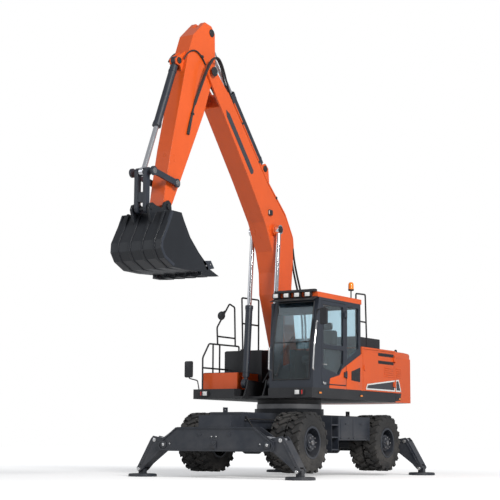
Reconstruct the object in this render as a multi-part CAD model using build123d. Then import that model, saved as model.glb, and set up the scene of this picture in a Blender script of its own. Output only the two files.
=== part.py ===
"""Wheeled excavator with four folding outriggers, one-piece boom, arm and digging bucket.

Millimetres.  +X is the front, +Y the cab side (left), +Z up.  The floor is z = 0 and the
origin lies below the middle of the overall box.  Every size below is measured from the
slew axis; SLEW_X moves the whole machine once, when the nodes are written.
"""
from build123d import *
from math import atan2, cos, degrees, hypot, pi, radians, sin
import os

# ---------------------------------------------------------------- driving dimensions
SLEW_X = -950.0          # slew axis, from the middle of the overall box

# running gear
LIFT = 80.0               # tyres hang this high while the outriggers carry the machine
TYRE_R = 527.5
TYRE_WIDTH = 275.0
TWIN_GAP = 30.0           # between the two tyres of a twin wheel
OVERALL_WIDTH = 2500.0    # over the outer tyres
RIM_R = 262.0
BEAD_CLEAR = 0.3
LUG_HEIGHT = 30.0
LUG_COUNT = 22
FRONT_AXLE_X = 1270.0
REAR_AXLE_X = -1580.0
KING_PIN_Y = 590.0
KING_PIN_R = 42.0
AXLE_TUBE_R = 105.0
HUB_R = 150.0
STUB_R = 70.0

# chassis
FRAME_HALF = 330.0        # half width of the centre frame
FRAME_BOTTOM = 700.0
AXLE_ROOF = 840.0         # underside of the frame above each axle
AXLE_BAY = 380.0          # half length of that recess
FRAME_TOP = 1120.0
FRAME_FRONT_X = 2120.0
FRAME_REAR_X = -2060.0
TURNTABLE_R = 640.0
SLEW_RING_R = 600.0
SLEW_RING_Z = 1215.0      # underside of the slew ring
SLEW_RING_HEIGHT = 85.0
RUN_CLEAR = 6.0           # between pieces that turn past each other

# outriggers
FRONT_LEG_X = 2330.0
REAR_LEG_X = -2270.0
LEG_WIDTH = 200.0
LEG_PIN_Y = 1060.0
LEG_PIN_Z = 560.0
LEG_PIN_R = 35.0
PAD_Y = 1610.0
PAD_R = 250.0
PAD_HEIGHT = 45.0
PAD_PIN_Z = 130.0
PAD_PIN_R = 25.0
BEAM_TOP = 860.0
BEAM_BOTTOM = 450.0
BEAM_PLATE = 30.0
LEG_CYL_FOOT = (300.0, 740.0)     # y, z of the outrigger cylinder's foot pin
LEG_CYL_EYE = (1290.0, 640.0)     # y, z of its rod eye on the leg
LEG_CYL_R = 62.0
LEG_ROD_R = 38.0
LEG_FOOT_PIN_R = 30.0

# upper structure
DECK_FRONT_X = 1320.0
DECK_BOTTOM = 1380.0
DECK_TOP = 1555.0
DECK_HALF = 1250.0
DECK_PLATE = 40.0
TAIL_R = 2850.0
TAIL_X = -1900.0          # where the counterweight starts
HOUSE_TOP = 2370.0
PANEL = 35.0
CAB_REAR_X = -480.0
CAB_FRONT_X = 1290.0
CAB_INNER_Y = 362.0
CAB_OUTER_Y = 1250.0
CAB_TOP = 3240.0
CAB_WALL = 50.0
ROOF_THICK = 90.0
DOOR_FRONT_X = 985.0
DOOR_REAR_X = 120.0
DOOR_HINGE_Y = 1275.0

# working equipment, as x, z of each pin
BOOM_PIN = (150.0, 1950.0)
BOOM_EYE = (850.0, 4450.0)
BOOM_CYL_FOOT = (1070.0, 1650.0)
ARM_PIN = (2920.0, 6930.0)
ARM_EYE = (2880.0, 7640.0)
ARM_CYL_FOOT = (1000.0, 5580.0)
BUCKET_PIN = (4130.0, 4380.0)
BUCKET_CYL_FOOT = (3740.0, 6950.0)
GUIDE_PIN = (3950.0, 4800.0)
LINK_TOP_PIN = (4580.0, 4900.0)
LINK_LOW_PIN = (4575.0, 4300.0)
BOOM_HALF = 180.0
ARM_HALF = 140.0
BUCKET_HALF = 500.0
BUCKET_SHELL = 25.0
BUCKET_SIDE = 30.0
TOOTH_COUNT = 5
BOOM_PIN_R = 45.0
ARM_PIN_R = 42.0
BUCKET_PIN_R = 40.0
LINK_PIN_R = 38.0
PIN_CLEAR = 0.3
SIDE_CLEAR = 6.0          # beside an eye or boss that turns
BOOM_CYL_Y = 280.0
BOOM_CYL_R = 64.0
BOOM_ROD_R = 42.0
ARM_CYL_R = 75.0
ARM_ROD_R = 48.0
BUCKET_CYL_R = 65.0
BUCKET_ROD_R = 42.0
CYL_PIN_R = 40.0
EYE_R = 90.0
EYE_HALF = 40.0

NODES = {}


# ---------------------------------------------------------------- helpers
def block(x0, x1, y0, y1, z0, z1):
    """A box between two corners."""
    return Pos((x0 + x1) / 2, (y0 + y1) / 2, (z0 + z1) / 2) * Box(x1 - x0, y1 - y0, z1 - z0)


def disc_x(y, z, r, x0, x1):
    """A cylinder along X."""
    return Pos((x0 + x1) / 2, y, z) * Rot(0, 90, 0) * Cylinder(r, x1 - x0)


def disc_y(point, r, y0, y1):
    """A cylinder along Y about an (x, z) point."""
    return Pos(point[0], (y0 + y1) / 2, point[1]) * Rot(90, 0, 0) * Cylinder(r, y1 - y0)


def disc_z(x, y, r, z0, z1):
    """A cylinder along Z."""
    return Pos(x, y, (z0 + z1) / 2) * Cylinder(r, z1 - z0)


def plate_xz(points, y0, y1):
    """An outline of (x, z) points as a plate from y0 to y1."""
    frame = Plane(origin=(0, y1, 0), x_dir=(1, 0, 0), z_dir=(0, -1, 0))
    return extrude(frame * make_face(Polyline(*points, close=True)), amount=y1 - y0)


def plate_yz(points, x0, x1):
    """An outline of (y, z) points as a plate from x0 to x1."""
    frame = Plane(origin=(x0, 0, 0), x_dir=(0, 1, 0), z_dir=(1, 0, 0))
    return extrude(frame * make_face(Polyline(*points, close=True)), amount=x1 - x0)


def plate_xy(points, z0, z1):
    """An outline of (x, y) points as a plate from z0 to z1."""
    return extrude(Pos(0, 0, z0) * make_face(Polyline(*points, close=True)), amount=z1 - z0)


def rod_between(start, end, radius):
    """A round bar from one point to another."""
    run = Vector(*end) - Vector(*start)
    place = Plane(origin=start, z_dir=run)
    return place * Pos(0, 0, run.length / 2) * Cylinder(radius, run.length)


def bent_tube(points, radius, bend):
    """A round bar along straight runs joined by arcs."""
    path = FilletPolyline(*points, radius=bend)
    start = Plane(origin=path @ 0, z_dir=path % 0)
    return sweep(start * Circle(radius), path=path)


def along(a, b, distance):
    """The point at a distance from a towards b, in a plane."""
    length = hypot(b[0] - a[0], b[1] - a[1])
    return (a[0] + (b[0] - a[0]) * distance / length, a[1] + (b[1] - a[1]) * distance / length)


def at_y(point, y):
    """An (x, z) point at a side distance y."""
    return (point[0], y, point[1])


def both_sides(shape):
    """A shape and its mirror image across the machine's middle plane."""
    return [shape, mirror(shape, about=Plane.XZ)]


def solid_list(shape):
    """The solids of a shape or list of shapes."""
    if isinstance(shape, (list, tuple)):
        return [s for part in shape for s in solid_list(part)]
    return list(shape.solids())


def node(name, *shapes):
    """Keeps a node's solids, moved from the slew axis to the overall origin."""
    solids = solid_list(shapes)
    NODES[name] = [Pos(SLEW_X, 0, 0) * s for s in solids]


def eye_barrel(foot, eye, y, cyl_r, length, eye_r, eye_half):
    """A cylinder barrel with its foot eye, from the foot pin towards the rod eye."""
    start = along(foot, eye, eye_r + 30)
    end = along(foot, eye, length)
    barrel = rod_between(at_y(start, y), at_y(end, y), cyl_r)
    neck = rod_between(at_y(foot, y), at_y(start, y), eye_half)
    head = rod_between(at_y(along(foot, eye, length - 90), y), at_y(end, y), cyl_r + 5)
    return barrel + neck + head + disc_y(foot, eye_r, y - eye_half, y + eye_half)


def eye_rod(foot, eye, y, rod_r, start_at, eye_r, eye_half):
    """A piston rod with its eye, from inside the barrel's mouth to the eye pin."""
    bar = rod_between(at_y(along(foot, eye, start_at), y), at_y(eye, y), rod_r)
    return bar + disc_y(eye, eye_r, y - eye_half, y + eye_half)


# ---------------------------------------------------------------- running gear
HUB_Z = TYRE_R + LIFT
OUTER_TYRE_Y = OVERALL_WIDTH / 2 - TYRE_WIDTH / 2
INNER_TYRE_Y = OUTER_TYRE_Y - TYRE_WIDTH - TWIN_GAP
AXLES = (("front", FRONT_AXLE_X), ("rear", REAR_AXLE_X))
SIDES = (("left", 1), ("right", -1))


def tyre(x, y):
    """One tyre with its tread blocks."""
    half = TYRE_WIDTH / 2
    tread_r = TYRE_R - LUG_HEIGHT
    outline = [
        (RIM_R + BEAD_CLEAR, -half * 0.76),
        (RIM_R + 24, -half * 0.78),
        (RIM_R + 80, -half * 0.97),
        (RIM_R + 130, -half),
        (tread_r - 40, -half * 0.96),
        (tread_r, -half * 0.80),
        (tread_r, half * 0.80),
        (tread_r - 40, half * 0.96),
        (RIM_R + 130, half),
        (RIM_R + 80, half * 0.97),
        (RIM_R + 24, half * 0.78),
        (RIM_R + BEAD_CLEAR, half * 0.76),
    ]
    frame = Plane(origin=(0, 0, 0), x_dir=(1, 0, 0), z_dir=(0, 0, 1))
    ring = revolve(frame * make_face(Polyline(*outline, close=True)), axis=Axis.Y)
    band = disc_y((0, 0), TYRE_R, -half * 0.80, half * 0.80) - disc_y((0, 0), tread_r - 5, -half, half)
    return Pos(x, y, HUB_Z) * (ring + band)


def rims(x, side):
    """Both rims of a twin wheel, their spacer and the hub with its cover, as one piece."""
    inner_edge = INNER_TYRE_Y - TYRE_WIDTH * 0.40
    outer_edge = OUTER_TYRE_Y + TYRE_WIDTH * 0.40
    well = disc_y((0, 0), RIM_R, inner_edge, outer_edge)
    well -= disc_y((0, 0), RIM_R - 16, inner_edge - 1, OUTER_TYRE_Y - 60)
    well -= disc_y((0, 0), RIM_R - 16, OUTER_TYRE_Y - 30, outer_edge + 1)
    flange_in = disc_y((0, 0), RIM_R + 20, inner_edge - 10, inner_edge)
    flange_in -= disc_y((0, 0), RIM_R - 16, inner_edge - 15, inner_edge + 1)
    flange_out = disc_y((0, 0), RIM_R + 20, outer_edge, outer_edge + 10)
    flange_out -= disc_y((0, 0), RIM_R - 16, outer_edge - 1, outer_edge + 15)
    hub = disc_y((0, 0), HUB_R, OUTER_TYRE_Y - 90, OUTER_TYRE_Y + 70)
    cover = disc_y((0, 0), HUB_R - 35, OUTER_TYRE_Y + 70, OUTER_TYRE_Y + 95)
    wheel = well + flange_in + flange_out + hub + cover
    wheel -= disc_y((0, 0), STUB_R + PIN_CLEAR, OUTER_TYRE_Y - 91, OUTER_TYRE_Y + 20)
    if side < 0:
        wheel = mirror(wheel, about=Plane.XZ)
    return Pos(x, 0, HUB_Z) * wheel


def spindle(x):
    """The left hub carrier: a drum inside the rim with the stub that the wheel turns on."""
    drum = disc_y((0, 0), 165, KING_PIN_Y + 100, OUTER_TYRE_Y - 96)
    stub = disc_y((0, 0), STUB_R, KING_PIN_Y + 100, OUTER_TYRE_Y + 19)
    return Pos(x, 0, HUB_Z) * (drum + stub)


def knuckle(x):
    """The left steering knuckle: the hub carrier with its two king-pin lugs."""
    lugs = []
    for z in (-1, 1):
        lug = block(-75, 75, KING_PIN_Y - 75, KING_PIN_Y + 110, z * 150 - 22, z * 150 + 22)
        lugs.append(lug)
    arm = block(-230, -60, KING_PIN_Y + 10, KING_PIN_Y + 60, -172, -132)
    carried = Pos(x, 0, HUB_Z) * (lugs[0] + lugs[1] + arm)
    pins = disc_z(x, KING_PIN_Y, KING_PIN_R, HUB_Z - 172, HUB_Z + 172)
    return spindle(x) + carried + pins


def axle_beam(x, steered):
    """An axle: tubes, differential bowl and, on the steered one, the king-pin forks."""
    end = KING_PIN_Y - 40 if steered else KING_PIN_Y + 40
    tube = disc_y((x, HUB_Z), AXLE_TUBE_R, -end, end)
    bowl = disc_y((x, HUB_Z), 205, -130, 130)
    nose = disc_x(0, HUB_Z, 95, min(x, x + 240 * (-1 if steered else 1)), max(x, x + 240 * (-1 if steered else 1)))
    body = tube + bowl + nose
    for side in (-1, 1):
        if steered:
            y0, y1 = sorted((side * (KING_PIN_Y - 130), side * KING_PIN_Y))
            head = block(x - 90, x + 90, y0, y1, HUB_Z - 122, HUB_Z + 122)
            head += disc_z(x, side * KING_PIN_Y, 90, HUB_Z - 122, HUB_Z + 122)
            hole = disc_z(x, side * KING_PIN_Y, KING_PIN_R + PIN_CLEAR, HUB_Z - 200, HUB_Z + 200)
            body += head
            body -= hole
        else:
            y0, y1 = sorted((side * (KING_PIN_Y - 60), side * (KING_PIN_Y + 101)))
            body += disc_y((x, HUB_Z), 165, y0, y1)
    saddle = block(x - 130, x + 130, -230, 230, HUB_Z + 60, AXLE_ROOF)
    return body + saddle


for axle_name, axle_x in AXLES:
    for side_name, side in SIDES:
        pair = [tyre(axle_x, side * OUTER_TYRE_Y), tyre(axle_x, side * INNER_TYRE_Y)]
        node(f"tyres_{axle_name}_{side_name}", pair)
        node(f"rims_{axle_name}_{side_name}", rims(axle_x, side))

node("axle_front", axle_beam(FRONT_AXLE_X, True))
rear_spindle = spindle(REAR_AXLE_X)
node("axle_rear", axle_beam(REAR_AXLE_X, False) + rear_spindle + mirror(rear_spindle, about=Plane.XZ))
node("knuckle_left", knuckle(FRONT_AXLE_X))
node("knuckle_right", mirror(knuckle(FRONT_AXLE_X), about=Plane.XZ))


# ---------------------------------------------------------------- chassis
def centre_frame():
    """The chassis box with its turntable, necked in beside the wheels."""
    box = block(FRAME_REAR_X, FRAME_FRONT_X, -FRAME_HALF, FRAME_HALF, FRAME_BOTTOM, FRAME_TOP)
    for x in (FRONT_AXLE_X, REAR_AXLE_X):
        box -= block(x - AXLE_BAY, x + AXLE_BAY, -FRAME_HALF - 1, FRAME_HALF + 1, FRAME_BOTTOM - 1, AXLE_ROOF)
    turntable = disc_z(0, 0, TURNTABLE_R, FRAME_TOP - 260, SLEW_RING_Z)
    return box + turntable


def lifting_eyes():
    """The two lifting eyes on the frame's top edge."""
    eyes = []
    for x, y in ((1760, -250), (-1810, 250)):
        eye = block(x - 55, x + 55, y - 15, y + 15, FRAME_TOP, FRAME_TOP + 90)
        eyes.append(eye - disc_y((x, FRAME_TOP + 50), 25, y - 16, y + 16))
    return eyes


chassis = centre_frame()
for eye in lifting_eyes():
    chassis += eye
node("chassis_frame", chassis)

slew_ring = disc_z(0, 0, SLEW_RING_R, SLEW_RING_Z, SLEW_RING_Z + SLEW_RING_HEIGHT)
slew_ring -= disc_z(0, 0, SLEW_RING_R - 110, SLEW_RING_Z - 1, SLEW_RING_Z + SLEW_RING_HEIGHT + 1)
node("slew_ring", slew_ring)

BOX_INNER_Y = TURNTABLE_R + 10
TOOLBOX_X = (-1010.0, 190.0)
STEP_X = (200.0, 450.0)


def toolbox():
    """The left box between the wheels, with its bracket to the frame."""
    case_top = FRAME_TOP - 45
    case = block(TOOLBOX_X[0], TOOLBOX_X[1], BOX_INNER_Y, 1150, 650, case_top)
    arm = block(-700, -100, FRAME_HALF, BOX_INNER_Y, 720, 820)
    return case + arm


def steps():
    """The left access steps beside the box."""
    treads = []
    for z in (470, 690, 910):
        treads.append(block(STEP_X[0], STEP_X[1], 900, 1150, z, z + 25))
    cheek = block(STEP_X[0], STEP_X[0] + 12, 880, 1150, 450, 1075)
    other = block(STEP_X[1] - 12, STEP_X[1], 880, 1150, 450, 1075)
    back = block(STEP_X[0], STEP_X[1], 870, 882, 450, 1075)
    return cheek + other + back + treads[0] + treads[1] + treads[2]


step_bracket = block(STEP_X[0], STEP_X[1], FRAME_HALF, 870, 720, 760)
node("toolboxes_and_steps", both_sides(toolbox()), both_sides(steps() + step_bracket))

shaft = rod_between((FRONT_AXLE_X - 240, 0, HUB_Z), (-150, 0, HUB_Z), 45)
rear_shaft = rod_between((REAR_AXLE_X + 240, 0, HUB_Z), (-550, 0, HUB_Z), 45)
gearbox = block(-550, -150, -200, 200, HUB_Z - 170, FRAME_BOTTOM)
node("gearbox", shaft + gearbox + rear_shaft)


# ---------------------------------------------------------------- outriggers
def outrigger_beam(x, toward):
    """The cross box that carries two legs; toward is +1 at the front and -1 at the rear."""
    half = LEG_WIDTH / 2 + BEAM_PLATE + SIDE_CLEAR
    x_in = x - toward * half
    x_out = x + toward * half
    frame_end = FRAME_FRONT_X if toward > 0 else FRAME_REAR_X
    face = [
        (-LEG_PIN_Y - 120, LEG_PIN_Z - 70),
        (-LEG_PIN_Y - 90, LEG_PIN_Z - 110),
        (LEG_PIN_Y + 90, LEG_PIN_Z - 110),
        (LEG_PIN_Y + 120, LEG_PIN_Z - 70),
        (LEG_PIN_Y + 110, LEG_PIN_Z + 60),
        (LEG_PIN_Y - 280, BEAM_TOP),
        (-LEG_PIN_Y + 280, BEAM_TOP),
        (-LEG_PIN_Y - 110, LEG_PIN_Z + 60),
    ]
    plates = []
    for edge in (x_in, x_out - toward * BEAM_PLATE):
        x0, x1 = sorted((edge, edge + toward * BEAM_PLATE))
        plates.append(plate_yz(face, x0, x1))
    x0, x1 = sorted((x_in + toward * BEAM_PLATE, x_out - toward * BEAM_PLATE))
    core = block(x0, x1, -200, 200, BEAM_BOTTOM, BEAM_TOP)
    beam = plates[0] + plates[1] + core
    x0, x1 = sorted((frame_end, x_in))
    beam += block(x0, x1, -FRAME_HALF, FRAME_HALF, FRAME_BOTTOM + 10, FRAME_TOP - 60)
    x0, x1 = sorted((x_in, x_out))
    beam += block(x0, x1, -FRAME_HALF, FRAME_HALF, BEAM_TOP - 10, FRAME_TOP - 60)
    for side in (-1, 1):
        for y, z, r in ((LEG_PIN_Y, LEG_PIN_Z, LEG_PIN_R), (LEG_CYL_FOOT[0], LEG_CYL_FOOT[1], LEG_FOOT_PIN_R)):
            beam += disc_x(side * y, z, r, min(x_in, x_out) - 12, max(x_in, x_out) + 12)
    return beam


def leg(x):
    """A left leg: an arched box from the hinge boss down to the pad fork."""
    half = LEG_WIDTH / 2
    outline = [
        (LEG_PIN_Y - 70, LEG_PIN_Z - 60),
        (LEG_PIN_Y - 70, LEG_PIN_Z + 40),
        (LEG_PIN_Y + 40, LEG_PIN_Z + 110),
        (LEG_CYL_EYE[0] + 30, LEG_CYL_EYE[1] + 70),
        (LEG_CYL_EYE[0] + 80, LEG_CYL_EYE[1] + 20),
        (PAD_Y + 60, PAD_PIN_Z + 20),
        (PAD_Y + 10, PAD_PIN_Z - 55),
        (PAD_Y - 60, PAD_PIN_Z - 10),
        (PAD_Y - 160, PAD_PIN_Z + 90),
        (LEG_PIN_Y + 60, LEG_PIN_Z - 100),
    ]
    body = plate_yz(outline, x - half, x + half)
    body -= disc_x(LEG_PIN_Y, LEG_PIN_Z, LEG_PIN_R + PIN_CLEAR, x - half - 1, x + half + 1)
    slot_half = LEG_CYL_R + 20
    body -= block(x - slot_half, x + slot_half, 900, LEG_CYL_EYE[0] + 90, LEG_CYL_EYE[1] - 75, 900)
    body -= block(x - 60, x + 60, PAD_Y - 100, PAD_Y + 100, 0, PAD_PIN_Z + 75)
    body += disc_x(PAD_Y, PAD_PIN_Z, PAD_PIN_R, x - half - 20, x + half + 20)
    return body + pad(x)


def pad(x):
    """A left foot pad with its pivot lug."""
    plate = disc_z(x, PAD_Y, PAD_R, 0, PAD_HEIGHT)
    lug = block(x - 50, x + 50, PAD_Y - 55, PAD_Y + 55, PAD_HEIGHT, PAD_PIN_Z)
    lug += disc_x(PAD_Y, PAD_PIN_Z, 55, x - 50, x + 50)
    return plate + lug


def leg_cylinder(x):
    """A left outrigger cylinder: barrel and rod lying over the leg."""
    foot, eye = LEG_CYL_FOOT, LEG_CYL_EYE

    def at_x(point):
        return (x, point[0], point[1])

    barrel = rod_between(at_x(along(foot, eye, 40)), at_x(along(foot, eye, 600)), LEG_CYL_R)
    barrel += disc_x(foot[0], foot[1], 60, x - 45, x + 45)
    barrel -= disc_x(foot[0], foot[1], LEG_FOOT_PIN_R + PIN_CLEAR, x - 46, x + 46)
    bore_end = at_x(along(foot, eye, 620))
    barrel -= rod_between(at_x(along(foot, eye, 130)), bore_end, LEG_ROD_R + PIN_CLEAR)
    rod = rod_between(at_x(along(foot, eye, 450)), at_x(eye), LEG_ROD_R)
    rod += disc_x(eye[0], eye[1], 50, x - 45, x + 45)
    return barrel, rod


for axle_name, leg_x, toward in (("front", FRONT_LEG_X, 1), ("rear", REAR_LEG_X, -1)):
    node(f"outrigger_beam_{axle_name}", outrigger_beam(leg_x, toward))
    left_leg = leg(leg_x)
    left_barrel, left_rod = leg_cylinder(leg_x)
    for side_name, side in SIDES:
        def put(shape):
            return shape if side > 0 else mirror(shape, about=Plane.XZ)
        node(f"leg_{axle_name}_{side_name}", put(left_leg))
        node(f"leg_barrel_{axle_name}_{side_name}", put(left_barrel))
        node(f"leg_rod_{axle_name}_{side_name}", put(left_rod))


# ---------------------------------------------------------------- upper structure
def tail_outline(half):
    """The deck's outline with the round tail, as a face."""
    corner_x = -(TAIL_R ** 2 - half ** 2) ** 0.5
    front = Polyline((corner_x, half), (DECK_FRONT_X, half), (DECK_FRONT_X, -half), (corner_x, -half))
    tail = ThreePointArc((corner_x, -half), (-TAIL_R, 0), (corner_x, half))
    return make_face([*front.edges(), tail.edge()])


BRACKET_Y = BOOM_HALF + SIDE_CLEAR
BRACKET_PLATE = 25.0
BRACKET_REAR_X = -480.0
BAY_REAR_X = 800.0        # the well that the boom cylinders lie in when the boom is down
BAY_HALF = BOOM_CYL_Y + BOOM_CYL_R + 14
NOSE_NOTCH_X = 1120.0     # the floor is open ahead of this, under the lowered boom


def deck():
    """The revolving frame: floor, edge skirts and the two plates that carry the boom."""
    outline = tail_outline(DECK_HALF)
    shell = extrude(Pos(0, 0, DECK_BOTTOM) * outline, amount=DECK_TOP - DECK_BOTTOM)
    shell -= block(-TAIL_R - 10, TAIL_X, -DECK_HALF - 1, DECK_HALF + 1, 0, 3000)
    shell -= block(NOSE_NOTCH_X, DECK_FRONT_X + 1, -BRACKET_Y, BRACKET_Y, 0, 3000)
    shell -= block(-300, DECK_FRONT_X + 1, -BRACKET_Y - 1, BRACKET_Y + 1, DECK_BOTTOM + DECK_PLATE, 3000)
    shell -= block(BAY_REAR_X, DECK_FRONT_X + 1, -BAY_HALF, BAY_HALF, DECK_BOTTOM + DECK_PLATE, 3000)
    ring = disc_z(0, 0, SLEW_RING_R - 10, SLEW_RING_Z + SLEW_RING_HEIGHT + PIN_CLEAR, DECK_BOTTOM)
    shell += ring
    shell += disc_z(0, 0, SLEW_RING_R - 116, SLEW_RING_Z + 10, DECK_BOTTOM)
    side_view = [
        (BRACKET_REAR_X, DECK_TOP),
        (-280, 2060),
        (BOOM_PIN[0] - 60, BOOM_PIN[1] + 130),
        (BOOM_PIN[0] + 90, BOOM_PIN[1] + 110),
        (620, DECK_TOP + 130),
        (BOOM_CYL_FOOT[0] - 60, BOOM_CYL_FOOT[1] + 60),
        (BOOM_CYL_FOOT[0] + 60, BOOM_CYL_FOOT[1] + 60),
        (BOOM_CYL_FOOT[0] + 95, BOOM_CYL_FOOT[1] - 60),
        (DECK_FRONT_X - 60, DECK_BOTTOM + DECK_PLATE),
        (BRACKET_REAR_X, DECK_BOTTOM + DECK_PLATE),
    ]
    for y0, y1 in ((BRACKET_Y, BRACKET_Y + BRACKET_PLATE), (-BRACKET_Y - BRACKET_PLATE, -BRACKET_Y)):
        shell += plate_xz(side_view, y0, y1)
    shell -= disc_y(BOOM_PIN, BOOM_PIN_R, -DECK_HALF, DECK_HALF)
    shell += disc_y(BOOM_PIN, BOOM_PIN_R, -BRACKET_Y - BRACKET_PLATE - 10, BRACKET_Y + BRACKET_PLATE + 10)
    for side in (-1, 1):
        y0, y1 = sorted((side * BRACKET_Y, side * (BOOM_CYL_Y + EYE_HALF + 8)))
        shell += disc_y(BOOM_CYL_FOOT, CYL_PIN_R, y0, y1)
    return shell


node("deck", deck())


def counterweight():
    """The cast tail block, as wide as the deck and round behind."""
    block_shape = extrude(Pos(0, 0, DECK_BOTTOM) * tail_outline(DECK_HALF), amount=COUNTERWEIGHT_TOP - DECK_BOTTOM)
    block_shape -= block(TAIL_X, DECK_FRONT_X + 1, -DECK_HALF - 1, DECK_HALF + 1, 0, 4000)
    return block_shape


COUNTERWEIGHT_TOP = 2240.0
BODY_FRONT_X = 690.0
ENGINE_FRONT_X = -520.0
node("counterweight", counterweight())

HOOD_TOP = 2640.0
HOOD_X = (-2330.0, -1330.0)
WALL_TOP = HOUSE_TOP - PANEL


def engine_bay():
    """The fixed engine enclosure: front wall, top plate and sills round the side doors."""
    front = block(ENGINE_FRONT_X - PANEL, ENGINE_FRONT_X, -DECK_HALF, DECK_HALF, DECK_TOP, WALL_TOP)
    top = block(TAIL_X, ENGINE_FRONT_X, -DECK_HALF, DECK_HALF, WALL_TOP, HOUSE_TOP)
    top -= block(HOOD_X[0], HOOD_X[1], -HOOD_HALF, HOOD_HALF, WALL_TOP - 1, HOUSE_TOP + 1)
    post = block(TAIL_X, TAIL_X + PANEL, -DECK_HALF, DECK_HALF, DECK_TOP, WALL_TOP)
    return front + top + post


def engine_bay_with_hinges():
    """The enclosure with the fixed halves of the side doors' hinges."""
    bay = engine_bay()
    for side in (-1, 1):
        for z in HINGE_Z:
            y0, y1 = sorted((side * (DECK_HALF - 5), side * (SIDE_HINGE_Y + 6)))
            for low in (z - 66, z + 46):
                bay += block(SIDE_HINGE_X - HINGE_R, SIDE_HINGE_X, y0, y1, low, low + 20)
                bay += disc_z(SIDE_HINGE_X, side * SIDE_HINGE_Y, HINGE_R, low, low + 20)
            bay += disc_z(SIDE_HINGE_X, side * SIDE_HINGE_Y, HINGE_PIN_R, z - 66, z + 66)
        y = side * HOOD_HINGE_Y
        for low in (y - 66, y + 46):
            bay += disc_y(HOOD_HINGE, HINGE_R, low, low + 20)
            bay += block(HOOD_HINGE[0], HOOD_HINGE[0] + HINGE_R, low, low + 20, HOUSE_TOP - 5, HOOD_HINGE[1])
        bay += disc_y(HOOD_HINGE, HINGE_PIN_R, y - 66, y + 66)
    return bay


HOOD_HALF = 700.0
HINGE_R = 14.0
HINGE_PIN_R = 7.0
HINGE_Z = (1720.0, 2200.0)
HOOD_HINGE = (HOOD_X[1] + 20, HOUSE_TOP + 20)
HOOD_HINGE_Y = 450.0
SIDE_HINGE_X = TAIL_X + PANEL
SIDE_HINGE_Y = DECK_HALF + 20


def hinge_barrel(x, y, z):
    """The turning knuckle of a hinge."""
    return disc_z(x, y, HINGE_R, z - 45, z + 45)


def hinge_hole(x, y, z):
    """The bore of a hinge's knuckle."""
    return disc_z(x, y, HINGE_PIN_R + PIN_CLEAR, z - 46, z + 46)


node("engine_bay", engine_bay_with_hinges())
engine = block(-1800, -850, -420, 420, DECK_TOP, 2200)
node("engine", engine)
hood_skin = block(HOOD_X[0], HOOD_X[1], -HOOD_HALF, HOOD_HALF, HOUSE_TOP + PIN_CLEAR, HOOD_TOP)
hood_skin -= block(HOOD_X[0] + PANEL, HOOD_X[1] - PANEL, -HOOD_HALF + PANEL, HOOD_HALF - PANEL, 0, HOOD_TOP - PANEL)
for y in (-HOOD_HINGE_Y, HOOD_HINGE_Y):
    hood_skin += disc_y(HOOD_HINGE, HINGE_R, y - 45, y + 45)
    hood_skin += block(HOOD_X[1] - 1, HOOD_HINGE[0], y - 45, y + 45, HOOD_HINGE[1] - 6, HOOD_HINGE[1] + 6)
    hood_skin -= disc_y(HOOD_HINGE, HINGE_PIN_R + PIN_CLEAR, y - 46, y + 46)
node("hood", hood_skin)

DOOR_GAP = 6.0


def side_door(side):
    """A side door of the engine bay, hinged at its rear edge."""
    x0 = TAIL_X + PANEL + DOOR_GAP
    x1 = ENGINE_FRONT_X - PANEL - DOOR_GAP
    y0, y1 = sorted((side * (DECK_HALF - PANEL), side * DECK_HALF))
    door = block(x0, x1, y0, y1, DECK_TOP + DOOR_GAP, WALL_TOP - DOOR_GAP)
    for z in HINGE_Z:
        y0, y1 = sorted((side * DECK_HALF, side * (SIDE_HINGE_Y + HINGE_R)))
        door += block(x0, x0 + 60, y0, y1, z - 45, z + 45)
        door += hinge_barrel(SIDE_HINGE_X, side * SIDE_HINGE_Y, z)
        door += block(SIDE_HINGE_X, x0 + 1, side * SIDE_HINGE_Y - 6, side * SIDE_HINGE_Y + 6, z - 45, z + 45)
        door -= hinge_hole(SIDE_HINGE_X, side * SIDE_HINGE_Y, z)
    return door


node("side_door_left", side_door(1))
node("side_door_right", side_door(-1))


def flank():
    """The sloping panel below and behind the cab on the left side."""
    outline = [
        (ENGINE_FRONT_X, DECK_TOP),
        (BODY_FRONT_X, DECK_TOP),
        (BODY_FRONT_X, 1720),
        (CAB_REAR_X, 2200),
        (ENGINE_FRONT_X, 2240),
    ]
    return plate_xz(outline, CAB_OUTER_Y + 5, CAB_OUTER_Y + 5 + PANEL)


node("tank", block(-500, 300, -DECK_HALF, -420, DECK_TOP, 2300))
node("toolbox_front", block(320, 1040, -DECK_HALF + 20, -480, DECK_TOP, 1860))


# ---------------------------------------------------------------- cab
CAB_SIDE = [
    (CAB_REAR_X, DECK_TOP),
    (CAB_FRONT_X, DECK_TOP),
    (CAB_FRONT_X - 20, 2300),
    (CAB_FRONT_X - 230, CAB_TOP - ROOF_THICK),
    (CAB_REAR_X, CAB_TOP - ROOF_THICK),
]


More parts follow.
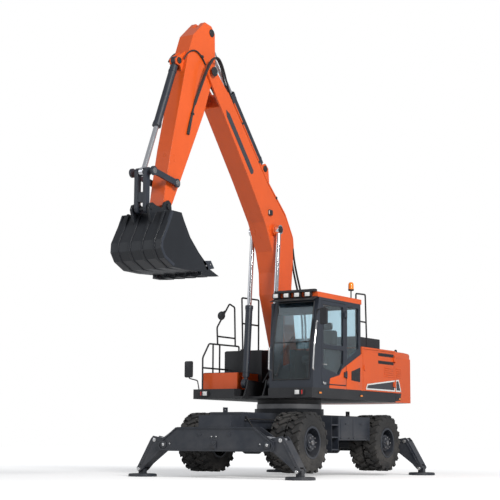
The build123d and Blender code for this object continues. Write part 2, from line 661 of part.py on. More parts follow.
def cab_shell():
    """The cab's frame: floor, pillars and rear wall, open at the windows and the door."""
    shell = plate_xz(CAB_SIDE, CAB_INNER_Y, CAB_OUTER_Y)
    w = CAB_WALL
    inside = [
        (CAB_REAR_X + w, DECK_TOP + w),
        (CAB_FRONT_X - w, DECK_TOP + w),
        (CAB_FRONT_X - 20 - w, 2300),
        (CAB_FRONT_X - 230 - w, CAB_TOP),
        (CAB_REAR_X + w, CAB_TOP),
    ]
    shell -= plate_xz(inside, CAB_INNER_Y + w, CAB_OUTER_Y - w)
    doorway = [
        (DOOR_REAR_X, DECK_TOP + 60),
        (DOOR_FRONT_X, DECK_TOP + 60),
        (DOOR_FRONT_X, CAB_TOP - ROOF_THICK - 50),
        (DOOR_REAR_X, CAB_TOP - ROOF_THICK - 50),
    ]
    shell -= plate_xz(doorway, CAB_OUTER_Y - w - 1, CAB_OUTER_Y + 1)
    for name, opening, y0, y1 in WINDOWS:
        shell -= plate_xz(opening, y0 - 1, y1 + 1)
    shell -= block(1100, 1400, CAB_INNER_Y + 75, CAB_OUTER_Y - 75, DECK_TOP + 130, 3090)
    shell -= block(CAB_REAR_X - 1, CAB_REAR_X + w + 1, CAB_INNER_Y + 90, CAB_OUTER_Y - 90, 2330, 3060)
    return shell


LEFT_WALL = (CAB_OUTER_Y - CAB_WALL, CAB_OUTER_Y)
RIGHT_WALL = (CAB_INNER_Y, CAB_INNER_Y + CAB_WALL)
WINDOWS = (
    ("quarter", [(-400, 2330), (40, 2100), (40, 3060), (-400, 3060)], *LEFT_WALL),
    ("right", [(-400, 2250), (900, 1950), (900, 3060), (-400, 3060)], *RIGHT_WALL),
)

DOOR_HINGE_X = DOOR_REAR_X - 12
CAB_HINGE_Z = (1820.0, 2900.0)


def cab_hinges(shell):
    """The cab shell with the fixed halves of the door's hinges."""
    for z in CAB_HINGE_Z:
        for low in (z - 66, z + 46):
            shell += block(DOOR_HINGE_X - HINGE_R, DOOR_HINGE_X, CAB_OUTER_Y - 5, DOOR_HINGE_Y + 6, low, low + 20)
            shell += disc_z(DOOR_HINGE_X, DOOR_HINGE_Y, HINGE_R, low, low + 20)
        shell += disc_z(DOOR_HINGE_X, DOOR_HINGE_Y, HINGE_PIN_R, z - 66, z + 66)
    return shell


node("cab_shell", cab_hinges(cab_shell()))
roof = block(CAB_REAR_X - 40, CAB_FRONT_X - 180, CAB_INNER_Y, CAB_OUTER_Y, CAB_TOP - ROOF_THICK, CAB_TOP)
node("cab_roof", roof)


def cab_glass():
    """The fixed panes of the cab."""
    panes = []
    for name, opening, y0, y1 in WINDOWS:
        middle = (y0 + y1) / 2
        panes.append(plate_xz(opening, middle - 4, middle + 4))
    front = [
        (CAB_FRONT_X - 12, DECK_TOP + 130),
        (CAB_FRONT_X - 4, DECK_TOP + 130),
        (CAB_FRONT_X - 24, 2300),
        (CAB_FRONT_X - 190, 3090),
        (CAB_FRONT_X - 200, 3090),
        (CAB_FRONT_X - 32, 2300),
    ]
    panes.append(plate_xz(front, CAB_INNER_Y + 75, CAB_OUTER_Y - 75))
    panes.append(block(CAB_REAR_X + 20, CAB_REAR_X + 28, CAB_INNER_Y + 90, CAB_OUTER_Y - 90, 2330, 3060))
    return panes


node("cab_glass", cab_glass())


def cab_door():
    """The door frame, its two window openings cut."""
    x0, x1 = DOOR_REAR_X + 6, DOOR_FRONT_X - 6
    z0, z1 = DECK_TOP + 66, CAB_TOP - ROOF_THICK - 56
    door = block(x0, x1, CAB_OUTER_Y - CAB_WALL, CAB_OUTER_Y, z0, z1)
    door -= plate_xz([(x0 + 60, 2330), (x1 - 60, 2330), (x1 - 60, z1 - 60), (x0 + 60, z1 - 60)], 0, 2000)
    door -= plate_xz([(x0 + 60, 2010), (x0 + 230, 1820), (x1 - 60, 1900), (x1 - 60, 2250), (x0 + 60, 2250)], 0, 2000)
    for z in CAB_HINGE_Z:
        door += block(x0, x0 + 60, CAB_OUTER_Y - 1, DOOR_HINGE_Y + 6, z - 45, z + 45)
        door += block(DOOR_HINGE_X, x0 + 1, DOOR_HINGE_Y - 6, DOOR_HINGE_Y + 6, z - 45, z + 45)
        door += hinge_barrel(DOOR_HINGE_X, DOOR_HINGE_Y, z)
        door -= hinge_hole(DOOR_HINGE_X, DOOR_HINGE_Y, z)
    return door


def door_glass():
    """The two panes of the door."""
    x0, x1 = DOOR_REAR_X + 66, DOOR_FRONT_X - 66
    z1 = CAB_TOP - ROOF_THICK - 116
    y0, y1 = CAB_OUTER_Y - 29, CAB_OUTER_Y - 21
    upper = plate_xz([(x0, 2330), (x1, 2330), (x1, z1), (x0, z1)], y0, y1)
    lower = plate_xz([(x0, 2010), (x0 + 170, 1820), (x1, 1900), (x1, 2250), (x0, 2250)], y0, y1)
    return [upper, lower]


node("cab_door", cab_door())
node("cab_door_glass", door_glass())

seat = block(60, 560, 570, 1030, 2020, 2140) + block(-20, 120, 570, 1030, 2140, 2790)
seat_base = block(120, 520, 660, 940, DECK_TOP + CAB_WALL, 2020)
node("seat", seat)
consoles = [block(150, 720, y, y + 110, DECK_TOP + CAB_WALL, 2260) for y in (440, 1050)]
node("cab_controls", seat_base, consoles)


# ---------------------------------------------------------------- boom
def boom():
    """The one-piece boom: a box bent above the deck, with a fork at its tip."""
    outline = [
        (BOOM_PIN[0] - 150, BOOM_PIN[1]),
        (BOOM_PIN[0] - 100, BOOM_PIN[1] - 115),
        (BOOM_PIN[0] + 60, BOOM_PIN[1] - 135),
        (BOOM_PIN[0] + 160, BOOM_PIN[1] + 60),
        (780, 3280),
        (800, 3680),
        (900, 4050),
        (1170, 4560),
        (1700, 5250),
        (2630, 6380),
        (2400, 6690),
        (1100, 5300),
        (450, 4750),
        (190, 4360),
        (170, 4000),
        (230, 3440),
    ]
    body = plate_xz(outline, -BOOM_HALF, BOOM_HALF)
    fork = [
        (2450, 6190),
        (2700, 6450),
        (ARM_PIN[0] + 100, ARM_PIN[1] - 75),
        (ARM_PIN[0] + 125, ARM_PIN[1] + 20),
        (ARM_PIN[0] + 50, ARM_PIN[1] + 115),
        (ARM_PIN[0] - 70, ARM_PIN[1] + 105),
        (2280, 6570),
    ]
    for y0, y1 in ((BOOM_HALF - FORK_PLATE, BOOM_HALF), (-BOOM_HALF, FORK_PLATE - BOOM_HALF)):
        body += plate_xz(fork, y0, y1)
    body -= disc_y(BOOM_PIN, BOOM_PIN_R + PIN_CLEAR, -BOOM_HALF - 1, BOOM_HALF + 1)
    body += disc_y(ARM_PIN, ARM_PIN_R, -BOOM_HALF - 15, BOOM_HALF + 15)
    body += disc_y(BOOM_EYE, 110, -BOOM_HALF - 50, BOOM_HALF + 50)
    for y0, y1 in ((-70, -70 + 25), (45, 70)):
        body += plate_xz(ARM_CYL_LUG, y0, y1)
    body += disc_y(ARM_CYL_FOOT, CYL_PIN_R, -75, 75)
    return body


FORK_PLATE = 32.0
GUIDE_Y = 196.0           # inner face of each guide link
HORN_SLOT_R = 330.0       # open space round the rod eye between the arm's two cheeks
EYE_SLOT = 48.0
ARM_CYL_LUG = [(800, 4950), (1250, 5300), (1100, 5640), (980, 5680), (880, 5600)]
node("boom", boom())


def boom_cylinders():
    """The barrels and the rods of the two boom cylinders."""
    barrels, rods = [], []
    for side in (-1, 1):
        y = side * BOOM_CYL_Y
        barrel = eye_barrel(BOOM_CYL_FOOT, BOOM_EYE, y, BOOM_CYL_R, 1430, EYE_R, EYE_HALF)
        barrel -= disc_y(BOOM_CYL_FOOT, CYL_PIN_R + PIN_CLEAR, y - 60, y + 60)
        start = at_y(along(BOOM_CYL_FOOT, BOOM_EYE, 170), y)
        end = at_y(along(BOOM_CYL_FOOT, BOOM_EYE, 1500), y)
        barrels.append(barrel - rod_between(start, end, BOOM_ROD_R + PIN_CLEAR))
        rods.append(eye_rod(BOOM_CYL_FOOT, BOOM_EYE, y, BOOM_ROD_R, 1380, 85, EYE_HALF))
    return barrels, rods


barrels, rods = boom_cylinders()
node("boom_cylinder_barrels", barrels)
node("boom_cylinder_rods", rods)


# ---------------------------------------------------------------- arm
def arm():
    """The arm: a tapering box with the cylinder eye behind its pivot."""
    outline = [
        (2820, 6860),
        (3100, 6140),
        (3960, 4470),
        (BUCKET_PIN[0] - 85, BUCKET_PIN[1] - 30),
        (BUCKET_PIN[0], BUCKET_PIN[1] - 90),
        (BUCKET_PIN[0] + 85, BUCKET_PIN[1] + 20),
        (4165, 4690),
        (4030, 5350),
        (3560, 7150),
        (3430, 7470),
        (3090, 7780),
        (2890, 7760),
        (2780, 7650),
        (2760, 7050),
    ]
    body = plate_xz(outline, -ARM_HALF, ARM_HALF)
    body -= disc_y(ARM_PIN, ARM_PIN_R + PIN_CLEAR, -ARM_HALF - 1, ARM_HALF + 1)
    body += disc_y(BUCKET_PIN, BUCKET_PIN_R, -195, 195)
    body += disc_y(GUIDE_PIN, LINK_PIN_R, -GUIDE_Y - 40, GUIDE_Y + 40)
    lug = [(3560, 7160), (3740, 7040), (3830, 6960), (3810, 6880), (3700, 6870), (3640, 6750), (3560, 6800)]
    body += plate_xz(lug, 45, 70) + plate_xz(lug, -70, -45)
    body += disc_y(BUCKET_CYL_FOOT, CYL_PIN_R, -75, 75)
    body -= disc_y(ARM_EYE, HORN_SLOT_R, -EYE_SLOT, EYE_SLOT)
    return body


node("arm", arm())

arm_barrel = eye_barrel(ARM_CYL_FOOT, ARM_EYE, 0, ARM_CYL_R, 1560, EYE_R, 38)
arm_barrel -= disc_y(ARM_CYL_FOOT, CYL_PIN_R + PIN_CLEAR, -60, 60)
start = at_y(along(ARM_CYL_FOOT, ARM_EYE, 180), 0)
end = at_y(along(ARM_CYL_FOOT, ARM_EYE, 1700), 0)
arm_barrel -= rod_between(start, end, ARM_ROD_R + PIN_CLEAR)
node("arm_cylinder_barrel", arm_barrel)
node("arm_cylinder_rod", eye_rod(ARM_CYL_FOOT, ARM_EYE, 0, ARM_ROD_R, 1500, 85, 38))

bucket_barrel = eye_barrel(BUCKET_CYL_FOOT, LINK_TOP_PIN, 0, BUCKET_CYL_R, 1330, 80, 38)
bucket_barrel -= disc_y(BUCKET_CYL_FOOT, CYL_PIN_R + PIN_CLEAR, -60, 60)
start = at_y(along(BUCKET_CYL_FOOT, LINK_TOP_PIN, 160), 0)
end = at_y(along(BUCKET_CYL_FOOT, LINK_TOP_PIN, 1500), 0)
bucket_barrel -= rod_between(start, end, BUCKET_ROD_R + PIN_CLEAR)
node("bucket_cylinder_barrel", bucket_barrel)
node("bucket_cylinder_rod", eye_rod(BUCKET_CYL_FOOT, LINK_TOP_PIN, 0, BUCKET_ROD_R, 1280, 75, 38))


def guide_links():
    """The two flat links from the arm's tip to the cylinder's rod end."""
    links = []
    for side in (-1, 1):
        y0, y1 = sorted((side * GUIDE_Y, side * (GUIDE_Y + 35)))
        bar_y = (y0 + y1) / 2
        bar = disc_y(GUIDE_PIN, 75, y0, y1) + disc_y(LINK_TOP_PIN, 75, y0, y1)
        span = hypot(LINK_TOP_PIN[0] - GUIDE_PIN[0], LINK_TOP_PIN[1] - GUIDE_PIN[1])
        tilt = degrees(atan2(LINK_TOP_PIN[1] - GUIDE_PIN[1], LINK_TOP_PIN[0] - GUIDE_PIN[0]))
        web = Pos(GUIDE_PIN[0], bar_y, GUIDE_PIN[1]) * Rot(0, -tilt, 0) * Pos(span / 2, 0, 0) * Box(span, y1 - y0, 100)
        bar += web
        links.append(bar - disc_y(GUIDE_PIN, LINK_PIN_R + PIN_CLEAR, y0 - 1, y1 + 1))
    return links


node("guide_links", guide_links())


def h_link():
    """The link from the bucket's upper pin to the rod end: two posts and a cross web."""
    low, top = LINK_LOW_PIN, LINK_TOP_PIN
    link = None
    for y0, y1 in ((55, 120), (-120, -55)):
        bar = disc_y(low, 70, y0, y1) + disc_y(top, 68, y0, y1)
        bar += block(low[0] - 20, top[0] + 72, y0, y1, low[1], top[1])
        link = bar if link is None else link + bar
    web = block(low[0] - 15, low[0] + 65, -56, 56, low[1] + 100, low[1] + 260)
    link += web
    return link - disc_y(low, LINK_PIN_R + PIN_CLEAR, -130, 130)


node("h_link", h_link())


# ---------------------------------------------------------------- bucket
BUCKET_BACK = [
    (4330, 4250), (4450, 4250), (4620, 3960), (4740, 3750), (4750, 3600), (4650, 3460), (4400, 3345),
    (4000, 3340), (3420, 3370),
]
BUCKET_MOUTH = [(3440, 3480), (3700, 3660), (3950, 3880), (4120, 4120), (4200, 4250)]


def bucket():
    """The digging bucket: bent shell, side plates, ears and teeth."""
    outer = BUCKET_BACK + BUCKET_MOUTH
    body = plate_xz(outer, -BUCKET_HALF, BUCKET_HALF)
    inner = [
        (4340, 4220), (4430, 4230), (4595, 3948), (4714, 3745), (4724, 3608), (4635, 3483), (4395, 3371),
        (4000, 3366), (3300, 3396), (3200, 3700), (3900, 4400), (4330, 4400),
    ]
    body -= plate_xz(inner, -BUCKET_HALF + BUCKET_SIDE, BUCKET_HALF - BUCKET_SIDE)
    for y0, y1 in ((ARM_HALF + 12, ARM_HALF + 47), (-ARM_HALF - 47, -ARM_HALF - 12)):
        ear = plate_xz([
            (4040, 4330), (4060, 4450), (4130, 4490), (4220, 4450), (4300, 4330), (4480, 4360), (4560, 4390),
            (4640, 4360), (4670, 4280), (4600, 4100), (4560, 4040), (4420, 4255), (4200, 4240),
        ], y0, y1)
        body += ear - disc_y(BUCKET_PIN, BUCKET_PIN_R + PIN_CLEAR, y0 - 1, y1 + 1)
    body += disc_y(LINK_LOW_PIN, LINK_PIN_R, -ARM_HALF - 60, ARM_HALF + 60)
    pitch = 2 * (BUCKET_HALF - 45) / (TOOTH_COUNT - 1)
    for i in range(TOOTH_COUNT):
        y = -BUCKET_HALF + 45 + i * pitch
        body += plate_xz([(3620, 3300), (3600, 3430), (3420, 3440), (3110, 3335), (3420, 3300)], y - 42, y + 42)
    return body


node("bucket", bucket())


# ---------------------------------------------------------------- write the nodes
def main():
    os.makedirs("parts", exist_ok=True)
    for name, solids in NODES.items():
        shape = solids[0] if len(solids) == 1 else Compound(children=solids)
        shape.label = name
        export_step(shape, f"parts/{name}.step")
    box = Compound(children=[s for solids in NODES.values() for s in solids]).bounding_box()
    print("box", [round(v) for v in (*box.min, *box.max)], "nodes", len(NODES))


main()
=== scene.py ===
import bpy, bmesh
from math import cos, pi, radians, sin
from mathutils import Matrix, Vector


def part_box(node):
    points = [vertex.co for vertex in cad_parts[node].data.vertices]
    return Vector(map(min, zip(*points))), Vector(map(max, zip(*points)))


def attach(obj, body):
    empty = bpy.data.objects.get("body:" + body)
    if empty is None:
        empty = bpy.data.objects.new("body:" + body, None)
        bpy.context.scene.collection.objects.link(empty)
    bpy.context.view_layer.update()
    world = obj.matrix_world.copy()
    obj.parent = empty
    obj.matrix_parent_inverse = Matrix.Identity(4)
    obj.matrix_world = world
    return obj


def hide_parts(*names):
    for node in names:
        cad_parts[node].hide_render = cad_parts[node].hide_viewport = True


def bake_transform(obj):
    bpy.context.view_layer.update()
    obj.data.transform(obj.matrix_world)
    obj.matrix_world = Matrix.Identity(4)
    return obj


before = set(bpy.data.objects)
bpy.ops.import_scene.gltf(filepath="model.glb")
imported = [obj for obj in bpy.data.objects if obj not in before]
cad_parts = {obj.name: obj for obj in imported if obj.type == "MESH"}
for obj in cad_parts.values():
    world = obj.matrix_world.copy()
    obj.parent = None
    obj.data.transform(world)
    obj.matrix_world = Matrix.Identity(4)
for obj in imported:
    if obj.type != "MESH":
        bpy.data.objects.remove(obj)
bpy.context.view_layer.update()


# ---------------- shader nodes and groups
def node(tree, kind, inputs=(), **settings):
    """A shader node with its settings; inputs maps its sockets to numbers, colours or other sockets."""
    made = tree.nodes.new("ShaderNode" + kind)
    for label, value in settings.items():
        setattr(made, label, value)
    feed(tree, made, inputs)
    return made


def feed(tree, made, inputs):
    """Sets or links the inputs of a node."""
    for label, value in dict(inputs).items():
        socket = made.inputs[label]
        if isinstance(value, bpy.types.NodeSocket):
            tree.links.new(value, socket)
        elif isinstance(value, tuple) and socket.type == "RGBA":
            socket.default_value = (*value, 1.0)
        else:
            socket.default_value = value


def new_group(name, inputs, outputs):
    """A shader node group with named sockets: its tree, what comes in, and the node that gives out."""
    tree = bpy.data.node_groups.new(name, "ShaderNodeTree")
    for label, default in inputs.items():
        kind = "NodeSocketColor" if isinstance(default, tuple) else "NodeSocketFloat"
        tree.interface.new_socket(label, in_out="INPUT", socket_type=kind).default_value = default
    for label, kind in outputs.items():
        tree.interface.new_socket(label, in_out="OUTPUT", socket_type="NodeSocket" + kind)
    return tree, tree.nodes.new("NodeGroupInput").outputs, tree.nodes.new("NodeGroupOutput")


def math_node(tree, operation, a, b, clamp=False):
    return node(tree, "Math", {0: a, 1: b}, operation=operation, use_clamp=clamp).outputs[0]


def remap(tree, value, low, high, to_low=0.0, to_high=1.0):
    ends = {"Value": value, "From Min": low, "From Max": high, "To Min": to_low, "To Max": to_high}
    return node(tree, "MapRange", ends).outputs["Result"]


def object_noise(tree, scale, detail, roughness, stretch=(1, 1, 1)):
    """Noise over Object coordinates."""
    place = node(tree, "TexCoord").outputs["Object"]
    place = node(tree, "Mapping", {"Vector": place, "Scale": stretch}).outputs["Vector"]
    return node(tree, "TexNoise", {
        "Vector": place, "Detail": detail, "Roughness": roughness, "Scale": scale,
    }).outputs["Fac"]


def mix_colour(tree, fac, a, b, blend="MIX"):
    return node(tree, "Mix", {0: fac, 6: a, 7: b}, data_type="RGBA", blend_type=blend).outputs[2]


def make_edge_wear():
    """Mask of edges and corners, broken up by noise, and the rounded normal."""
    tree, given, out = new_group("edge_wear", {"Radius": 0.004, "Amount": 0.5, "Scale": 14.0},
                                 {"Mask": "Float", "Normal": "Vector"})
    rounded = node(tree, "Bevel", {"Radius": given["Radius"]}, samples=4).outputs["Normal"]
    true = node(tree, "NewGeometry").outputs["Normal"]
    dot = node(tree, "VectorMath", {0: rounded, 1: true}, operation="DOT_PRODUCT").outputs["Value"]
    edge = remap(tree, dot, 0.985, 0.80)
    broken = remap(tree, object_noise(tree, given["Scale"], 6.0, 0.7), 0.42, 0.62)
    mask = math_node(tree, "MULTIPLY", math_node(tree, "MULTIPLY", edge, broken), given["Amount"], True)
    feed(tree, out, {"Mask": mask, "Normal": rounded})
    return tree


def make_settled_dust():
    """Mask of dust: more on faces that look up and lower on the machine, patchy."""
    tree, given, out = new_group("settled_dust", {"Amount": 0.4, "Low": 0.0, "High": 1.8, "Scale": 3.0},
                                 {"Mask": "Float"})
    height = node(tree, "SeparateXYZ", {0: node(tree, "TexCoord").outputs["Object"]}).outputs["Z"]
    low = remap(tree, height, given["Low"], given["High"], 1.0, 0.0)
    slope = node(tree, "SeparateXYZ", {0: node(tree, "NewGeometry").outputs["Normal"]}).outputs["Z"]
    up = remap(tree, slope, 0.2, 1.0, 0.0, 0.6)
    patch = remap(tree, object_noise(tree, given["Scale"], 8.0, 0.65), 0.35, 0.7)
    both = math_node(tree, "ADD", low, up)
    mask = math_node(tree, "MULTIPLY", math_node(tree, "MULTIPLY", both, patch), given["Amount"], True)
    feed(tree, out, {"Mask": mask})
    return tree


def make_tone_drift():
    """A colour that drifts lighter and darker over the surface, with streaks."""
    tree, given, out = new_group("tone_drift", {"Colour": (0.5, 0.5, 0.5, 1), "Scale": 1.5, "Strength": 0.12},
                                 {"Colour": "Color", "Mask": "Float"})
    broad = object_noise(tree, given["Scale"], 3.0, 0.5)
    streak = object_noise(tree, 9.0, 5.0, 0.6, (1.0, 1.0, 0.12))
    both = math_node(tree, "ADD", math_node(tree, "MULTIPLY", broad, 0.65), math_node(tree, "MULTIPLY", streak, 0.35))
    swing = math_node(tree, "MULTIPLY", math_node(tree, "SUBTRACT", both, 0.5), given["Strength"])
    gain = math_node(tree, "ADD", math_node(tree, "MULTIPLY", swing, 4.0), 1.0)
    grey = node(tree, "CombineColor", {0: gain, 1: gain, 2: gain}).outputs[0]
    feed(tree, out, {"Colour": mix_colour(tree, 1.0, given["Colour"], grey, "MULTIPLY"), "Mask": both})
    return tree


EDGE_WEAR = make_edge_wear()
SETTLED_DUST = make_settled_dust()
TONE_DRIFT = make_tone_drift()


def new_material(name):
    """A material, its node tree and its shader."""
    material = bpy.data.materials.new(name)
    material.use_nodes = True
    return material, material.node_tree, material.node_tree.nodes["Principled BSDF"]


def place_group(tree, group, **values):
    return node(tree, "Group", values.items(), node_tree=group).outputs


DUST = (0.30, 0.275, 0.245)


def painted(name, colour, roughness, coat=0.0, metallic=0.0, drift=0.12, wear=0.0, worn=0.2,
            dust=0.35, dust_high=1.8, radius=0.004, grain=220.0, depth=0.0006, spread=0.08, wear_scale=14.0):
    """A painted or moulded finish: tone drift, edges worn to a colour or a grey, settled dust and a fine grain."""
    material, tree, shader = new_material(name)
    tone = place_group(tree, TONE_DRIFT, Colour=colour, Strength=drift)
    edge = place_group(tree, EDGE_WEAR, Radius=radius, Amount=wear, Scale=wear_scale)
    dirt = place_group(tree, SETTLED_DUST, Amount=dust, High=dust_high)["Mask"]
    worn = worn if isinstance(worn, tuple) else (worn,) * 3
    edged = mix_colour(tree, edge["Mask"], tone["Colour"], worn)
    rough = remap(tree, tone["Mask"], 0.3, 0.7, roughness - spread, roughness + spread)
    bump = node(tree, "Bump", {
        "Strength": 1.0, "Distance": depth, "Height": object_noise(tree, grain, 3.0, 0.6), "Normal": edge["Normal"],
    })
    feed(tree, shader, {
        "Base Color": mix_colour(tree, dirt, edged, DUST),
        "Roughness": math_node(tree, "ADD", rough, math_node(tree, "MULTIPLY", dirt, 0.45), True),
        "Normal": bump.outputs["Normal"], "Metallic": metallic, "Coat Weight": coat, "Coat Roughness": 0.12,
    })
    return material


def glassy(name, colour, roughness, ior=1.45):
    """Clear glazing: transmission with a faint smear in the roughness."""
    material, tree, shader = new_material(name)
    tone = place_group(tree, TONE_DRIFT, Colour=colour, Strength=0.05)
    feed(tree, shader, {
        "Base Color": tone["Colour"], "Roughness": remap(tree, tone["Mask"], 0.35, 0.7, roughness, roughness + 0.06),
        "Metallic": 0.0, "Transmission Weight": 1.0, "IOR": ior,
    })
    return material


ORANGE = painted("orange_paint", (0.66, 0.092, 0.012), 0.34, coat=0.18, drift=0.07, wear=0.12,
                 worn=(0.45, 0.05, 0.02), dust=0.10, dust_high=2.2, grain=420.0, depth=0.0002)
CHARCOAL = painted("charcoal_paint", (0.016, 0.017, 0.020), 0.44, coat=0.05, drift=0.15, wear=0.25, worn=0.09,
                   dust=0.12, dust_high=1.9)
SLATE = painted("slate_paint", (0.021, 0.026, 0.037), 0.40, coat=0.08, drift=0.15, wear=0.35,
                worn=(0.10, 0.105, 0.12), dust=0.16, dust_high=1.5)
TOOL = painted("tool_black", (0.010, 0.012, 0.016), 0.36, drift=0.18, wear=0.6, worn=(0.16, 0.16, 0.17),
               dust=0.10, radius=0.008, wear_scale=9.0)
STEEL = painted("bare_steel", (0.30, 0.30, 0.31), 0.36, metallic=0.9, drift=0.2, wear=0.3, worn=0.6, dust=0.2)
CHROME = painted("rod_chrome", (0.80, 0.80, 0.82), 0.10, metallic=1.0, drift=0.03, dust=0.03, grain=900.0,
                 depth=0.00005, spread=0.04)
RUBBER = painted("tyre_rubber", (0.015, 0.0155, 0.017), 0.72, drift=0.2, wear=0.35, worn=(0.07, 0.068, 0.066),
                 dust=0.27, dust_high=1.3, grain=160.0, depth=0.0012, radius=0.008)
TRIM = painted("cab_trim", (0.03, 0.03, 0.033), 0.6, drift=0.1, wear=0.1, dust=0.1, grain=500.0, depth=0.0004)
GLASS = glassy("cab_glazing", (0.66, 0.80, 0.86), 0.02)
BRIGHT = painted("bright_steel", (0.72, 0.72, 0.72), 0.25, metallic=0.85, drift=0.06, wear=0.1, worn=0.8,
                 dust=0.08, grain=600.0, depth=0.0001)
HOSE = painted("hose_rubber", (0.016, 0.016, 0.018), 0.55, drift=0.15, wear=0.05, worn=0.06, dust=0.12,
               grain=900.0, depth=0.0003)
FABRIC = painted("seat_fabric", (0.055, 0.056, 0.06), 0.85, dust=0.05, grain=1400.0)
DECAL_DARK = painted("decal_dark", (0.035, 0.037, 0.045), 0.35, 0.2, drift=0.05, dust=0.06, grain=300.0, depth=0.0001)
DECAL_WHITE = painted("decal_white", (0.72, 0.72, 0.70), 0.4, 0.1, drift=0.04, dust=0.08, grain=300.0, depth=0.0001)
COLOURED_LENS = {"coat": 0.7, "drift": 0.05, "dust": 0.04, "grain": 120.0, "depth": 0.001}
AMBER = painted("amber_lens", (0.85, 0.24, 0.01), 0.15, **COLOURED_LENS)
LENS_RED = painted("red_lens", (0.55, 0.015, 0.012), 0.15, **COLOURED_LENS)
MIRROR = painted("mirror_glass", (0.85, 0.87, 0.88), 0.04, metallic=1.0, drift=0.02, dust=0.02, grain=900.0,
                 depth=0.00002, spread=0.01)
LENS = painted("lamp_lens", (0.80, 0.81, 0.80), 0.12, coat=0.6, drift=0.03, dust=0.05, grain=60.0, depth=0.002)

MATERIAL_OF = {
    "slew_ring": STEEL, "bucket": TOOL, "cab_glass": GLASS, "cab_door_glass": GLASS, "seat": TRIM, "cab_controls": TRIM,
}
MATERIAL_OF.update(dict.fromkeys(("deck", "engine", "hood", "tank"), CHARCOAL))
MATERIAL_OF.update(dict.fromkeys((
    "counterweight", "engine_bay", "toolbox_front", "cab_roof", "side_door_left", "side_door_right", "boom", "arm",
), ORANGE))


def material_for(name):
    """The finish of a CAD node; slate unless its name says otherwise."""
    other = RUBBER if name.startswith("tyres") else CHROME if "rod" in name else SLATE
    return MATERIAL_OF.get(name, other)


for name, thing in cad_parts.items():
    thing.data.materials.clear()
    thing.data.materials.append(material_for(name))

# ---------------- places on the machine
SIDES = (("left", 1), ("right", -1))
SLEW_X = -0.95
WHEELS = (
    ("front_left", 0.32, 1), ("front_right", 0.32, -1), ("rear_left", -2.53, 1), ("rear_right", -2.53, -1),
)
HUB_Z = 0.6075
TURNTABLE_Z = 1.215
BEAM_FACES = (("front", 1.528, 1), ("rear", -3.368, -1))  # outer faces, and which way each looks
BEAM_BACKS = ((1.17, 1), (-3.01, -1))
BEAM_PIN_Y = (-1.06, 1.06)
BEAM_PIN_Z = 0.56
LEGS = (("front", 1.38), ("rear", -3.22))
LEG_PLATE = 0.10  # from a leg's middle to its side plates
DECK_TOP = 1.555
TOOLBOX_TOP = 1.86
TANK_TOP = 2.30
BODY_TOP = 2.37
FLANK = 1.25  # the body's sides, from the middle
ROOF_Z = 3.235
BUCKET_SIDE = 0.5

# pins of the working equipment, seen from the side
BOOM_FOOT = (-0.80, 1.95)
BOOM_EYE = (-0.10, 4.45)
BOOM_CYLINDER_FOOT = (0.12, 1.65)
ARM_CYLINDER_FOOT = (0.05, 5.58)
ARM_PIN = (1.97, 6.93)
ARM_EYE = (1.93, 7.64)
BUCKET_CYLINDER_FOOT = (2.79, 6.95)
BUCKET_PIN = (3.18, 4.38)
GUIDE_PIN = (3.0, 4.8)
LINK_TOP = (3.63, 4.9)

# ---------------- making pieces
DIRECTION = {"x": Vector((1, 0, 0)), "y": Vector((0, 1, 0)), "z": Vector((0, 0, 1))}
MERGE = 0.00002


def turn_to(axis):
    """The turn that takes straight up to an axis."""
    return Vector((0, 0, 1)).rotation_difference(Vector(axis).normalized()).to_matrix().to_4x4()


def keep(name, shape, body, material, replaced=(), crease=35):
    """A finished piece from a bmesh: doubles merged, faces outwards, riding on its body."""
    bmesh.ops.remove_doubles(shape, verts=shape.verts, dist=MERGE)
    bmesh.ops.recalc_face_normals(shape, faces=shape.faces)
    mesh = bpy.data.meshes.new(name)
    shape.to_mesh(mesh)
    shape.free()
    mesh.polygons.foreach_set("use_smooth", [True] * len(mesh.polygons))
    mesh.set_sharp_from_angle(angle=radians(crease))
    mesh.materials.append(material)
    thing = bpy.data.objects.new(name, mesh)
    bpy.context.scene.collection.objects.link(thing)
    if body:
        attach(thing, body)
    if replaced:
        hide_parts(*replaced)
    return thing


def keep_one(name, body, material, add, *how, **more):
    """A finished piece made by a single call of add."""
    shape = bmesh.new()
    add(shape, *how, **more)
    return keep(name, shape, body, material)


def round_off(shape, geom, offset, kind="EDGES", steps=2):
    bmesh.ops.bevel(shape, geom=geom, offset=offset, segments=steps, profile=0.5, affect=kind, material=-1)


def add_block(shape, low, high, bevel=0.0):
    """A block between two opposite corners, its edges rounded."""
    low, high = Vector([min(pair) for pair in zip(low, high)]), Vector([max(pair) for pair in zip(low, high)])
    place = Matrix.Translation((low + high) / 2) @ Matrix.Diagonal((*(high - low), 1))
    made = bmesh.ops.create_cube(shape, size=1, matrix=place)
    if bevel:
        round_off(shape, list({e for v in made["verts"] for e in v.link_edges}), bevel)


def add_disc(shape, centre, axis, radius, depth, sides=24, rim=0.0):
    """A round boss on centre that rises along axis; six sides make a bolt head."""
    axis = Vector(axis).normalized()
    place = Matrix.Translation(Vector(centre)) @ turn_to(axis) @ Matrix.Translation((0, 0, depth / 2))
    made = bmesh.ops.create_cone(shape, cap_ends=True, segments=sides, radius1=radius, radius2=radius,
                                 depth=depth, matrix=place)
    if rim:
        high = [v for v in made["verts"] if (v.co - Vector(centre)).dot(axis) > depth * 0.9]
        round_off(shape, [e for e in {e for v in high for e in v.link_edges} if all(v in high for v in e.verts)], rim)


